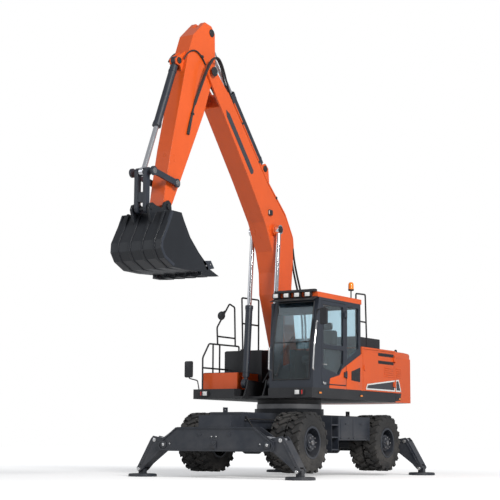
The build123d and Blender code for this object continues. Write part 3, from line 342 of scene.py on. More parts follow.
def add_bolts(shape, centre, axis, ring, count, size):
    """A ring of hexagon bolts with washers."""
    axis = Vector(axis).normalized()
    place = Matrix.Translation(Vector(centre)) @ turn_to(axis)
    for i in range(count):
        angle = 2 * pi * i / count
        foot = place @ Vector((ring * cos(angle), ring * sin(angle), 0))
        add_disc(shape, foot, axis, size * 1.25, size * 0.25, 12)
        add_disc(shape, foot, axis, size, size * 0.95, 6)


def add_pin_cap(shape, pin, y, side, radius, ring, count, bolt, depth=0.014):
    """A bolted cap on the end of a pin that runs across the machine."""
    x, z = pin
    out = (0, side, 0)
    add_disc(shape, (x, side * y, z), out, radius, depth, 28, 0.004)
    add_bolts(shape, (x, side * (y + depth - 0.001), z), out, ring, count, bolt)


def rectangle(a0, b0, a1, b1, rim=0.0):
    """The corners of a rectangle, drawn in by rim."""
    a0, b0, a1, b1 = a0 + rim, b0 + rim, a1 - rim, b1 - rim
    return [(a0, b0), (a1, b0), (a1, b1), (a0, b1)]


def add_prism(shape, outline, axis, start, end, corner=0.0, rim=0.0, border=0.0):
    """An outline across an axis, taken from start to end; border keeps only a frame of that width."""
    before = set(shape.faces)
    place = {
        "x": lambda a, b: (start, a, b), "y": lambda a, b: (a, start, b), "z": lambda a, b: (a, b, start),
    }[axis]
    verts = [shape.verts.new(place(a, b)) for a, b in outline]
    shape.faces.new(verts)
    if corner:
        round_off(shape, verts, corner, "VERTICES", 4)
    faces = [f for f in shape.faces if f not in before]
    if border:
        shape.normal_update()
        inner = faces
        faces = bmesh.ops.inset_region(shape, faces=inner, thickness=border, use_even_offset=True,
                                       use_boundary=True)["faces"]
        bmesh.ops.delete(shape, geom=inner, context="FACES")
    made = bmesh.ops.extrude_face_region(shape, geom=faces)["geom"]
    moved = [v for v in made if isinstance(v, bmesh.types.BMVert)]
    bmesh.ops.translate(shape, vec=DIRECTION[axis] * (end - start), verts=moved)
    if rim:
        round_off(shape, [e for e in made if isinstance(e, bmesh.types.BMEdge)], rim)


def add_lathe(shape, profile, centre, axis, steps=32, closed=False):
    """A profile of (radius, height along axis) points spun round the axis."""
    axis = Vector(axis).normalized()
    out = turn_to(axis) @ Vector((1, 0, 0))
    centre = Vector(centre)
    verts = [shape.verts.new(centre + axis * high + out * r) for r, high in profile]
    pairs = list(zip(verts, verts[1:])) + ([(verts[-1], verts[0])] if closed else [])
    edges = [shape.edges.new(pair) for pair in pairs]
    bmesh.ops.spin(shape, geom=verts + edges, cent=centre, axis=axis, angle=2 * pi, steps=steps, use_merge=True)


def bent(points, bend):
    """A route's points with one on each side of every corner, so that its runs stay straight."""
    route = [Vector(points[0])]
    for before, corner, after in zip(points, points[1:], points[2:]):
        corner = Vector(corner)
        near = []
        for other in (before, after):
            run = Vector(other) - corner
            near.append(corner + run.normalized() * min(bend, run.length * 0.45))
        route += [near[0], corner, near[1]]
    return route + [Vector(points[-1])]


def add_tube(shape, points, radius, bend=0.0, order=3):
    """A tube along a smooth route; bend rounds the corners of a stiff one."""
    route = bent(points, bend) if bend else points
    curve = bpy.data.curves.new("route", "CURVE")
    curve.dimensions = "3D"
    curve.bevel_depth = radius
    curve.bevel_resolution = 2
    curve.resolution_u = 5
    curve.use_fill_caps = True
    line = curve.splines.new("NURBS")
    line.points.add(len(route) - 1)
    for point, place in zip(line.points, route):
        point.co = (*place, 1)
    line.order_u = min(order, len(route))
    line.use_endpoint_u = True
    holder = bpy.data.objects.new("route", curve)
    mesh = bpy.data.meshes.new_from_object(holder)
    shape.from_mesh(mesh)
    bpy.data.objects.remove(holder)
    bpy.data.meshes.remove(mesh)
    bpy.data.curves.remove(curve)


def face_beside(node, pin, reach=0.11):
    """How far out, in y, a node comes within reach of a pin."""
    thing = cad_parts[node]
    places = [thing.matrix_world @ v.co for v in thing.data.vertices]
    return max(abs(p.y) for p in places if (p.x - pin[0]) ** 2 + (p.z - pin[1]) ** 2 < reach ** 2)


# ---------------- wheels
TYRE_Y = (1.1125, 0.8075)
HALF_TYRE = (
    (0.2640, 0.098), (0.292, 0.118), (0.345, 0.134), (0.400, 0.1365), (0.452, 0.132), (0.480, 0.121), (0.4925, 0.092),
)
TYRE_PROFILE = (*((r, -across) for r, across in HALF_TYRE), (0.497, 0.0), *reversed(HALF_TYRE))
LUGS = 19  # on each half of a tyre
LUG_REACH = 0.1355  # how far a lug comes out sideways
LUG_PLACE = (0.064, 0.508)  # a lug's middle: sideways, and from the hub
LUG_SIZE = (0.072, 0.150, 0.037, 1)
LUG_SKEW = 0.50
SHOULDER_PLACE = (0.033, 0.1225, 0.487)
SHOULDER_SIZE = (0.072, 0.022, 0.066, 1)
SHOULDER_LEAN = 0.22
SIDEWALL_RINGS = ((0.372, 1.2485), (0.318, 1.2385))  # radius and place across
RIM_LIP = ((0.262, 0), (0.2635, 0.006), (0.270, 0.010), (0.276, 0.006), (0.274, 0))
RIM_LIP_Y = 1.2085
HUB_BOLT_RING = 0.105


def add_tyre(shape, x, y):
    """A tyre: its casing, and skewed lugs that wrap over the shoulders."""
    centre = Vector((x, y, HUB_Z))
    add_lathe(shape, TYRE_PROFILE, centre, (0, 1, 0), 48, closed=True)
    across, out = LUG_PLACE
    back, wide, low = SHOULDER_PLACE
    for half in (-1, 1):
        for i in range(LUGS):
            angle = 2 * pi * (i + (0.5 if half > 0 else 0)) / LUGS
            around = Matrix.Translation(centre) @ Matrix.Rotation(angle, 4, "Y")
            lug = around @ Matrix.Translation((0, half * across, out)) @ Matrix.Rotation(half * LUG_SKEW, 4, "Z")
            made = bmesh.ops.create_cube(shape, size=1, matrix=lug @ Matrix.Diagonal(LUG_SIZE))
            for v in made["verts"]:
                v.co.y = min(max(v.co.y, y - LUG_REACH), y + LUG_REACH)
            wall = around @ Matrix.Translation((half * -back, half * wide, low))
            wall = wall @ Matrix.Rotation(half * SHOULDER_LEAN, 4, "X") @ Matrix.Diagonal(SHOULDER_SIZE)
            bmesh.ops.create_cube(shape, size=1, matrix=wall)


def make_wheels():
    for name, x, side in WHEELS:
        wheel = "wheel_" + name
        out = (0, side, 0)
        tyres = bmesh.new()
        for y in TYRE_Y:
            add_tyre(tyres, x, side * y)
        keep("lugged_tyres_" + name, tyres, wheel, RUBBER, ("tyres_" + name,))
        rings = bmesh.new()
        for radius, y in SIDEWALL_RINGS:
            bead = [(radius - 0.004, 0), (radius, 0.0022), (radius + 0.004, 0), (radius, -0.004)]
            add_lathe(rings, bead, (x, side * y, HUB_Z), out, 48, closed=True)
        keep("sidewall_rings_" + name, rings, wheel, RUBBER)
        hub = (x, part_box("rims_" + name)[1 if side > 0 else 0].y, HUB_Z)
        nuts = bmesh.new()
        add_bolts(nuts, hub, out, HUB_BOLT_RING, 8, 0.011)
        add_disc(nuts, hub, out, 0.045, 0.008, 24, 0.003)
        keep("hub_bolts_" + name, nuts, wheel, STEEL)
        lip = (x, side * RIM_LIP_Y, HUB_Z)
        keep_one("rim_edge_" + name, wheel, SLATE, add_lathe, RIM_LIP, lip, out, 48, closed=True)


# ---------------- chassis and outriggers
SLEW_BOLT_RING = 0.625
BEAM_EDGE = (
    (-1.18, 0.535), (-1.15, 0.60), (-0.80, 0.855), (0.80, 0.855), (1.15, 0.60), (1.18, 0.535),
    (1.13, 0.47), (0.98, 0.455), (-0.98, 0.455), (-1.13, 0.47),
)
LEG_WEB = ((1.09, 0.50), (1.12, 0.62), (1.29, 0.66), (1.36, 0.60), (1.60, 0.20), (1.52, 0.17))
LEG_PINS = ((1.61, 0.13, 0.030, 0.035, 0.004), (1.29, 0.64, 0.034, 0.012, 0.003))  # y, z, radius, depth, rim
PAD_RING = ((0.20, 0.0), (0.235, 0.0), (0.232, 0.006), (0.203, 0.006))
PAD_TOP = 0.0455
HOSE_DROP = ((-0.22, 0.20, 1.02), (-0.12, 0.30, 1.10), (-0.07, 0.42, 0.98), (-0.05, 0.52, 0.86), (0.01, 0.60, 0.78))
HOSE_RUN = ((1.10, 0.34, 0.98), (0.98, 0.42, 1.02), (0.70, 0.40, 0.98), (0.30, 0.39, 1.01), (-0.18, 0.40, 0.97))
TOOLBOX_SIDE = 1.15
TOOLBOX_DOORS = ((-1.93, -1.30), (-1.27, -0.82))


def make_beam_details():
    for name, x, toward in BEAM_FACES:
        out = (toward, 0, 0)
        pins = bmesh.new()
        for y in BEAM_PIN_Y:
            add_disc(pins, (x, y, BEAM_PIN_Z), out, 0.026, 0.014, 20, 0.003)
            add_disc(pins, (x, y * 0.87, BEAM_PIN_Z + 0.015), out, 0.013, 0.008, 12, 0.002)
        for y in (-0.045, 0.045):
            add_disc(pins, (x, y, 0.70), out, 0.012, 0.01, 12, 0.002)
        keep("beam_pin_ends_" + name, pins, "chassis", BRIGHT)
        trim = bmesh.new()
        add_prism(trim, rectangle(-0.04, 0.50, 0.04, 0.62), "x", x, x + toward * 0.012, 0.015, 0.003)
        loop = x + toward * 0.05
        add_tube(trim, [(x, -0.03, 0.59), (loop, -0.03, 0.57), (loop, 0.03, 0.57), (x, 0.03, 0.59)], 0.009, 0.02)
        for y in BEAM_PIN_Y:
            add_disc(trim, (x - toward * 0.001, y, BEAM_PIN_Z), out, 0.062, 0.009, 28, 0.003)
            add_bolts(trim, (x + toward * 0.008, y, BEAM_PIN_Z), out, 0.046, 4, 0.006)
        add_prism(trim, BEAM_EDGE, "x", x - toward * 0.004, x + toward * 0.005, border=0.022)
        keep("beam_trim_" + name, trim, "chassis", SLATE)


def make_chassis_details():
    centre = (SLEW_X, 0, TURNTABLE_Z)
    keep_one("slew_ring_bolts", "chassis", STEEL, add_bolts, centre, (0, 0, -1), SLEW_BOLT_RING, 40, 0.013)
    make_beam_details()
    boxes = bmesh.new()
    for side in (-1, 1):
        y = side * TOOLBOX_SIDE
        for x0, x1 in TOOLBOX_DOORS:
            middle = (x0 + x1) / 2
            add_prism(boxes, rectangle(x0, 0.69, x1, 1.04), "y", y - side * 0.001, y + side * 0.006, 0.03, 0.002)
            add_block(boxes, (middle - 0.06, y, 0.93), (middle + 0.06, y + side * 0.02, 0.96), 0.006)
            for x in (x0 + 0.07, x1 - 0.07):
                add_disc(boxes, (x, y + side * 0.008, 0.688), (1, 0, 0), 0.011, 0.07, 12)
    keep("toolbox_doors", boxes, "chassis", SLATE)
    hoses = bmesh.new()
    for side in (-1, 1):
        for x, toward in BEAM_BACKS:
            add_tube(hoses, [(x + toward * a, side * b, c) for a, b, c in HOSE_DROP], 0.011, order=4)
        add_tube(hoses, [(a, side * b, c) for a, b, c in HOSE_RUN], 0.012, order=4)
    keep("chassis_hoses", hoses, "chassis", HOSE)
    for end, x in LEGS:
        for name, side in SIDES:
            body = f"leg_{end}_{name}"
            leg = bmesh.new()
            for reach in (-1, 1):
                for y, z, radius, depth, rim in LEG_PINS:
                    add_disc(leg, (x + reach * LEG_PLATE, side * y, z), (reach, 0, 0), radius, depth, 20, rim)
            keep(f"leg_pin_ends_{end}_{name}", leg, body, BRIGHT)
            web = bmesh.new()
            outline = [(side * y, z) for y, z in LEG_WEB]
            for reach in (-1, 1):
                add_prism(web, outline, "x", x + reach * (LEG_PLATE - 0.001), x + reach * (LEG_PLATE + 0.006),
                          0.02, 0.002, 0.028)
            add_lathe(web, PAD_RING, (x, side * LEG_PINS[0][0], PAD_TOP), (0, 0, 1), 40, closed=True)
            keep(f"leg_ribs_{end}_{name}", web, body, SLATE)


# ---------------- rails, mirrors and lamps
RAIL = 0.016
GRAB_RAIL = 0.014
MIRROR_STEM = 0.011
OUTER_RAIL_Y = -1.15
INNER_RAIL_Y = -0.70
CAB_RAIL_Y = 0.90
RAILS = (  # place across, then x and z along each route
    (OUTER_RAIL_Y, ((0.225, 1.55), (0.225, 2.14), (0.02, 2.41), (-0.99, 2.42), (-0.99, 2.295))),
    (OUTER_RAIL_Y, ((0.225, 1.955), (-0.62, 1.955))),
    (OUTER_RAIL_Y, ((-0.26, 2.413), (-0.235, 2.73), (-0.65, 3.21), (-0.83, 3.16), (-0.86, 2.42))),
    (OUTER_RAIL_Y, ((-0.243, 2.565), (-0.858, 2.565))),
    (INNER_RAIL_Y, ((-0.45, 1.85), (-0.39, 3.28), (-0.98, 3.29), (-0.98, 2.29))),
    (INNER_RAIL_Y, ((-0.41, 2.80), (-0.98, 2.80))),
    (CAB_RAIL_Y, ((-1.91, 2.36), (-1.91, 3.42), (-2.29, 3.435), (-2.335, 2.555), (-2.335, 2.36))),
    (CAB_RAIL_Y, ((-1.91, 2.90), (-2.315, 2.90))),
)
MIRROR_ARM = ((-0.55, -1.15, 3.08), (-0.50, -1.19, 3.04), (-0.49, -1.205, 2.98))
RAIL_POSTS = (-0.11, -0.33)
RAIL_FEET = (
    (0.225, OUTER_RAIL_Y, DECK_TOP), (-0.11, OUTER_RAIL_Y, TOOLBOX_TOP), (-0.33, OUTER_RAIL_Y, TOOLBOX_TOP),
    (-0.45, INNER_RAIL_Y, TOOLBOX_TOP), (-0.98, INNER_RAIL_Y, TANK_TOP), (-0.99, OUTER_RAIL_Y, TANK_TOP),
    (-1.91, CAB_RAIL_Y, BODY_TOP), (-2.335, CAB_RAIL_Y, BODY_TOP),
)
GRAB_RAILS = (
    ((0.335, 1.262, 1.86), (0.40, 1.285, 1.88), (0.375, 1.30, 2.30), (0.27, 1.29, 2.72), (0.20, 1.262, 2.70)),
    ((0.335, 0.40, 1.86), (0.40, 0.385, 1.88), (0.38, 0.38, 2.25), (0.33, 0.385, 2.27)),
)
ROUND_MIRROR = ((0.0, 0.03), (0.05, 0.027), (0.078, 0.016), (0.085, 0.0), (0.08, -0.006), (0.0, -0.006))
ROUND_PLATE = ((0.0, 0.0015), (0.074, 0.0), (0.074, -0.004), (0.0, -0.004))


def make_rails():
    rails = bmesh.new()
    for y, route in RAILS:
        add_tube(rails, [(x, y, z) for x, z in route], RAIL, 0.07)
    add_tube(rails, MIRROR_ARM, RAIL, 0.07)
    for x in RAIL_POSTS:
        add_tube(rails, [(x, OUTER_RAIL_Y, 1.85), (x, OUTER_RAIL_Y, 2.415)], RAIL)
    for foot in RAIL_FEET:
        add_disc(rails, foot, (0, 0, 1), 0.038, 0.008, 16, 0.002)
    keep("guard_rails", rails, "house", CHARCOAL)
    grab = bmesh.new()
    for route in GRAB_RAILS:
        add_tube(grab, route, GRAB_RAIL, 0.06)
    keep("grab_rails", grab, "house", BRIGHT)


def make_mirror(name, low, high, stem):
    """A mirror that faces back: a rounded housing with its stem, and its plate."""
    low, high = Vector(low), Vector(high)
    body = bmesh.new()
    add_prism(body, rectangle(low.y, low.z, high.y, high.z), "x", low.x + 0.006, high.x, 0.028, 0.012)
    add_tube(body, stem, MIRROR_STEM, 0.05)
    keep(name, body, "house", CHARCOAL)
    plate = rectangle(low.y, low.z, high.y, high.z, 0.014)
    keep_one(name + "_glass", "house", MIRROR, add_prism, plate, "x", low.x + 0.008, low.x, 0.02, 0.002)


def make_mirrors():
    make_mirror("mirror_left", (0.37, 1.43, 2.63), (0.42, 1.57, 2.92),
                [(0.20, 1.25, 2.86), (0.36, 1.36, 2.90), (0.40, 1.50, 2.90), (0.40, 1.50, 2.70)])
    make_mirror("mirror_right", (0.325, -1.46, 1.775), (0.37, -1.29, 2.075),
                [(0.26, -1.20, 1.55), (0.27, -1.23, 1.72), (0.34, -1.37, 1.76), (0.35, -1.375, 1.93)])
    for name, material, profile, x, toward in (("", CHARCOAL, ROUND_MIRROR, -0.485, 1),
                                               ("_glass", MIRROR, ROUND_PLATE, -0.4915, -1)):
        keep_one("mirror_round" + name, "house", material, add_lathe, profile, (x, -1.22, 2.975), (toward, 0, 0), 28)


LAMP_RIM = 0.012
LIGHT_BAR_Y = tuple(0.425 + 0.218 * i for i in range(4))
VISOR = ((0.15, 3.145), (0.335, 3.075), (0.34, 3.088), (0.16, 3.16))
BEACON_PLACE = (-1.38, 1.08)
BEACON_STEM = (
    (0.0, 0.0), (0.03, 0.0), (0.03, 0.012), (0.012, 0.02), (0.012, 0.17), (0.05, 0.175), (0.055, 0.20), (0.0, 0.20),
)
BEACON_DOME = ((0.0, 0.14), (0.028, 0.135), (0.045, 0.115), (0.05, 0.09), (0.052, 0.0), (0.0, 0.0))
REFLECTORS = ((0.09, 1.47), (-1.44, 1.46), (-3.03, 1.45))


def add_lamp(body, lens, low, high, toward=1):
    """A square lamp that looks along x: a hollow housing and a lens set in it."""
    low, high = Vector(low), Vector(high)
    if low.y > high.y:
        low.y, high.y = high.y, low.y
    outline = rectangle(low.y, low.z, high.y, high.z)
    back, front = (low.x, high.x) if toward > 0 else (high.x, low.x)
    add_prism(body, outline, "x", back, front - toward * LAMP_RIM, 0.014, 0.003)
    add_prism(body, outline, "x", front - toward * LAMP_RIM, front, 0.014, 0.002, LAMP_RIM)
    inner = rectangle(low.y, low.z, high.y, high.z, LAMP_RIM + 0.0005)
    add_prism(lens, inner, "x", front - toward * 0.0115, front - toward * 0.003, 0.008, 0.003)


def make_lamps():
    bar, lenses = bmesh.new(), bmesh.new()
    add_block(bar, (0.135, 0.385, ROOF_Z), (0.225, 1.225, 3.285), 0.012)
    for y in LIGHT_BAR_Y:
        add_lamp(bar, lenses, (0.15, y - 0.062, 3.145), (0.245, y + 0.062, 3.24))
        add_block(bar, (0.16, y - 0.012, ROOF_Z), (0.20, y + 0.012, 3.262), 0.003)
    add_prism(bar, VISOR, "y", 0.37, 1.245, rim=0.003)
    keep("roof_light_bar", bar, "house", CHARCOAL)
    keep("roof_light_lenses", lenses, "house", LENS)
    bodies, white, red = bmesh.new(), bmesh.new(), bmesh.new()
    for side in (-1, 1):
        add_lamp(bodies, white, (0.365, side * 0.91, 1.425), (0.415, side * 1.03, 1.525))
        add_lamp(bodies, red, (0.365, side * 1.035, 1.425), (0.405, side * 1.09, 1.525))
    keep("deck_lamps", bodies, "house", CHARCOAL)
    keep("deck_lamp_lenses", white, "house", LENS)
    keep("deck_markers", red, "house", LENS_RED)
    tail, glow = bmesh.new(), bmesh.new()
    for side in (-1, 1):
        add_lamp(tail, glow, (-3.825, side * 0.86, 1.60), (-3.74, side * 1.08, 1.70), -1)
    keep("tail_lamps", tail, "house", CHARCOAL)
    keep("tail_lamp_lenses", glow, "house", LENS_RED)
    up = (0, 0, 1)
    keep_one("beacon_stem", "house", CHARCOAL, add_lathe, BEACON_STEM, (*BEACON_PLACE, ROOF_Z), up, 24)
    keep_one("beacon_dome", "house", AMBER, add_lathe, BEACON_DOME, (*BEACON_PLACE, 3.433), up, 24)
    amber, frames = bmesh.new(), bmesh.new()
    for side in (-1, 1):
        y = side * FLANK
        for x, z in REFLECTORS:
            outline = rectangle(x - 0.05, z - 0.02, x + 0.05, z + 0.02)
            add_prism(amber, outline, "y", y - side * 0.002, y + side * 0.009, 0.008, 0.002)
            add_prism(frames, outline, "y", y - side * 0.002, y + side * 0.011, 0.008, 0.001, 0.005)
    keep("side_reflectors", amber, "house", AMBER)
    keep("reflector_frames", frames, "house", CHARCOAL)
    work, face = bmesh.new(), bmesh.new()
    for side in (-1, 1):
        add_lamp(work, face, (0.02, side * 0.18, 4.70), (0.11, side * 0.228, 4.80))
    keep("boom_work_lamps", work, "boom", CHARCOAL)
    keep("boom_work_lenses", face, "boom", LENS)


# ---------------- body sides
FILM = 0.002  # how far a decal or a thin frame stands out
PANEL = (1.249, 1.256)  # the left flank's thin panels, inside to outside
GRILLE = ((-1.05, 1.89), (-1.39, 1.98), (-1.38, 1.71), (-1.05, 1.73))
RIB_ROWS = tuple(1.86 + 0.04 * i for i in range(5))
DECALS = (  # parted at the seam behind the side doors
    ("door", ((-1.68, 1.69), (-2.82, 1.803), (-2.82, 1.585), (-1.62, 1.585))),
    ("tail", ((-2.86, 1.807), (-2.99, 1.82), (-3.09, 1.60), (-3.085, 1.585), (-2.86, 1.585))),
)
DECAL_EDGE = 0.026
TAIL_SKIRT = ((-3.06, 1.42), (-2.84, 1.40), (-2.84, 1.56), (-3.10, 1.56))
UPPER_PANEL = ((-1.465, 2.235), (-0.87, 1.985), (-0.87, 1.562), (-1.465, 1.562))
SILL_PANEL = ((-0.86, 1.56), (-0.24, 1.56), (-0.245, 1.615), (-0.86, 1.615))
DOOR_PANEL = ((-0.845, 1.975), (-0.70, 1.905), (-0.615, 1.805), (-0.27, 1.735), (-0.245, 1.635), (-0.845, 1.635))
TAIL_PLAN = ((-3.74, -1.02), (-3.60, -1.19), (-3.30, -1.245), (-2.86, -1.245))
TAIL_CAP = (2.235, 2.362)
EYE_PLACE = (-3.42, 0.98, 2.39)
EYE_RING = ((0.028, -0.01), (0.05, -0.01), (0.05, 0.01), (0.028, 0.01))


def add_louvres(shape, side, x0, x1, rows, height, deep):
    """Rows of louvre blades that lean out of a side face."""
    inside, outside = side * FLANK, side * (FLANK + deep)
    for z in rows:
        blade = [(inside, z), (outside, z - height * 0.15), (outside, z + height * 0.2), (inside, z + height)]
        add_prism(shape, blade, "x", x0, x1, rim=0.002)


def make_side(name, side):
    """What one side door and the tail behind it carry: frame, louvres, ribs and decal."""
    door = "side_door_" + name
    out = side * FLANK
    film = side * (FLANK + FILM)
    frames = bmesh.new()
    add_prism(frames, rectangle(-2.79, 1.60, -1.53, 2.31), "y", out, film, 0.03, 0.0, 0.012)
    add_block(frames, (-1.60, out, 1.93), (-1.545, side * 1.268, 2.03), 0.008)
    keep("door_edge_" + name, frames, door, ORANGE)
    dark = bmesh.new()
    for z0, z1 in ((2.235, 2.295), (2.09, 2.15)):
        add_prism(dark, rectangle(-2.78, z0, -2.13, z1), "y", out, film, 0.01)
        add_louvres(dark, side, -2.77, -2.14, [z0 + 0.008 + 0.017 * i for i in range(3)], 0.013, 0.007)
    keep("door_louvres_" + name, dark, door, CHARCOAL)
    keep_one("door_ribs_" + name, door, ORANGE, add_louvres, side, -2.76, -2.38, RIB_ROWS, 0.026, 0.009)
    more = bmesh.new()
    add_louvres(more, side, -3.10, -2.88, RIB_ROWS, 0.026, 0.009)
    add_prism(more, rectangle(-3.14, 2.235, -2.87, 2.24), "y", out - side * 0.01, side * (FLANK + 0.005))
    keep("tail_ribs_" + name, more, "house", ORANGE)
    for label, cut in DECALS:
        body = door if label == "door" else "house"
        keep_one(f"decal_{label}_{name}", body, DECAL_DARK, add_prism, cut, "y", out, side * (FLANK + 0.0022))
        keep_one(f"decal_edge_{label}_{name}", body, DECAL_WHITE, add_prism, cut, "y", film, side * (FLANK + 0.0045),
                 border=DECAL_EDGE)


def make_flanks():
    for name, side in SIDES:
        make_side(name, side)
    skirt = bmesh.new()
    for side in (-1, 1):
        add_prism(skirt, TAIL_SKIRT, "y", side * 1.20, side * 1.253, rim=0.003)
    keep("tail_skirts", skirt, "house", CHARCOAL)
    panel = bmesh.new()
    add_prism(panel, UPPER_PANEL, "y", *PANEL, 0.012, 0.002)
    add_prism(panel, SILL_PANEL, "y", *PANEL, 0.006, 0.002)
    keep("flank_panel", panel, "house", ORANGE)
    keep_one("flank_door_panel", "cab_door", ORANGE, add_prism, DOOR_PANEL, "y", *PANEL, 0.01, 0.002)
    grille = bmesh.new()
    add_prism(grille, GRILLE, "y", 1.255, 1.2575, 0.01)
    add_prism(grille, GRILLE, "y", 1.257, 1.262, 0.01, 0.001, 0.010)
    for x in (-1.37 + 0.037 * i for i in range(9)):
        add_block(grille, (x, 1.257, 1.735), (x + 0.006, 1.260, 1.885))
    for z in (1.745 + 0.03 * i for i in range(5)):
        add_block(grille, (-1.375, 1.257, z), (-1.055, 1.2605, z + 0.005))
    keep("flank_grille", grille, "house", CHARCOAL)
    outline = [*TAIL_PLAN, *((x, -y) for x, y in reversed(TAIL_PLAN))]
    keep_one("tail_cap", "house", ORANGE, add_prism, outline, "z", *TAIL_CAP, rim=0.045)
    eyes = bmesh.new()
    x, y, z = EYE_PLACE
    for side in (-1, 1):
        add_lathe(eyes, EYE_RING, (x, side * y, z), (0, 1, 0), 24, closed=True)
        add_block(eyes, (x - 0.04, side * y - 0.012, 2.355), (x + 0.04, side * y + 0.012, 2.372), 0.003)
    keep("lifting_eyes", eyes, "house", CHARCOAL)
    slots = bmesh.new()
    for i in range(7):
        add_block(slots, (-3.10 + 0.09 * i, -0.42, 2.636), (-3.06 + 0.09 * i, 0.42, 2.648), 0.004)
    for side in (-1, 1):
        add_block(slots, (-3.285, side * 0.45 - 0.04, 2.45), (-3.27, side * 0.45 + 0.04, 2.49), 0.005)
    keep("hood_slats", slots, "hood", CHARCOAL)
    lids = bmesh.new()
    add_block(lids, (-1.44, -1.235, 2.298), (-0.66, -0.435, 2.312), 0.005)
    add_disc(lids, (-0.85, -0.95, 2.31), (0, 0, 1), 0.065, 0.04, 28, 0.008)
    add_block(lids, (-0.62, -1.22, 1.858), (0.08, -0.49, 1.868), 0.004)
    for x in (-0.45, -0.10):
        add_block(lids, (x - 0.03, -1.245, 1.80), (x + 0.03, -1.228, TOOLBOX_TOP), 0.005)
    for i in range(4):
        add_block(lids, (-0.60, -1.20 + 0.03 * i, 1.866), (0.06, -1.19 + 0.03 * i, 1.871))
    keep("tank_and_toolbox_lids", lids, "house", CHARCOAL)


# ---------------- cab
SCREEN_Y = (0.437, 1.175)
SCREEN_LINE = ((0.345, 1.70), (0.345, 1.75), (0.326, 2.30), (0.158, 3.07))
SEAM_LINES = (-0.42, 0.42)  # sewn channels, across half the cushion's width
SEAM_WIDTH = 0.09
SEAM_DEPTH = 0.007
PIPING = ((-0.86, 0.58), (-0.42, 0.58), (-0.39, 0.62), (-0.39, 0.98), (-0.42, 1.02), (-0.86, 1.02))
PIPING_Z = 2.09


def make_cab_details():
    seals = bmesh.new()
    for y in SCREEN_Y:
        add_tube(seals, [(x, y, z) for x, z in SCREEN_LINE], 0.009, 0.02)
    for x, z in (SCREEN_LINE[0], SCREEN_LINE[-1]):
        add_tube(seals, [(x, y, z) for y in SCREEN_Y], 0.009)
    add_tube(seals, [(0.315, 0.44, 2.35), (0.315, 1.17, 2.35)], 0.008)
    keep("windscreen_seal", seals, "house", TRIM)
    wiper = bmesh.new()
    add_disc(wiper, (0.335, 0.52, 1.78), (1, 0, 0), 0.022, 0.03, 16, 0.004)
    add_tube(wiper, [(0.362, 0.52, 1.78), (0.372, 0.60, 1.98), (0.352, 0.72, 2.28)], 0.006)
    add_tube(wiper, [(0.352, 0.58, 2.12), (0.350, 0.72, 2.28), (0.315, 0.84, 2.46)], 0.008)
    keep("wiper", wiper, "house", TRIM)
    handle = bmesh.new()
    add_prism(handle, rectangle(-0.12, 1.62, -0.03, 1.66), "y", 1.249, 1.258, 0.01, 0.002)
    grip = ((-0.11, 1.25), (-0.11, 1.275), (-0.02, 1.275), (-0.02, 1.25))
    add_tube(handle, [(x, y, 1.97) for x, y in grip], 0.008, 0.01)
    keep("door_handle", handle, "cab_door", BRIGHT)


def add_cushion(shape, low, high, radius, crown, axis):
    """An upholstered pad: rounded, subdivided, crowned outwards and pinched along its seams."""
    low, high = Vector(low), Vector(high)
    middle, half = (low + high) / 2, (high - low) / 2
    others = [i for i in range(3) if i != axis]
    pad = bmesh.new()
    bmesh.ops.create_cube(pad, size=2)
    bmesh.ops.subdivide_edges(pad, edges=pad.edges, cuts=15, use_grid_fill=True)
    for v in pad.verts:
        unit = v.co.copy()
        core = Vector([max(-h + radius, min(h - radius, u * h)) for u, h in zip(unit, half)])
        away = Vector([u * h for u, h in zip(unit, half)]) - core
        place = core + (away.normalized() * radius if away.length > 0 else away)
        swell = cos(unit[others[0]] * pi / 2) * cos(unit[others[1]] * pi / 2)
        place[axis] += crown * swell * (1 if unit[axis] > 0 else 0.3 if unit[axis] < 0 else 0)
        for line in SEAM_LINES:
            gap = abs(unit[1] - line)
            if gap < SEAM_WIDTH and unit[axis] > 0:
                place[axis] -= SEAM_DEPTH * (1 - gap / SEAM_WIDTH)
        v.co = place + middle
    mesh = bpy.data.meshes.new("pad")
    pad.to_mesh(mesh)
    pad.free()
    shape.from_mesh(mesh)
    bpy.data.meshes.remove(mesh)


def make_cushions():
    base = bmesh.new()
    add_cushion(base, (-0.885, 0.575, 2.015), (-0.395, 1.025, 2.155), 0.045, 0.020, 2)
    back = bmesh.new()
    add_cushion(back, (-0.965, 0.575, 2.15), (-0.835, 1.025, 2.64), 0.045, 0.020, 0)
    add_cushion(back, (-0.955, 0.665, 2.645), (-0.85, 0.935, 2.785), 0.04, 0.012, 0)
    seat = keep("cushion_base", base, "house", FABRIC, ("seat",), 60)
    rest = keep("cushion_back", back, "house", FABRIC, ("seat",), 60)
    keep_one("cushion_piping", "house", TRIM, add_tube, [(x, y, PIPING_Z) for x, y in PIPING], 0.005, 0.02)


# ---------------- boom, arm and their hoses
PIPE_RUN = ((1.225, 6.535), (0.118, 5.335), (-0.530, 4.790), (-0.803, 4.385), (-0.826, 4.18))
PIPE_Y = (0.105, 0.150)
PIPE = 0.017
PIPE_STEP = 0.012  # how much higher the outer pipe lies
CLAMPS = ((0.25, 0), (0.75, 0), (0.5, 1))  # share of a run, and which run
CLAMP_SECTION = ((-0.02, -0.05), (0.02, -0.05), (0.02, 0.028), (-0.02, 0.028))
BAND = ((1.535, 6.38), (0.66, 5.40))  # the boom's blank decal, from tip to foot
BAND_HALF = 0.058


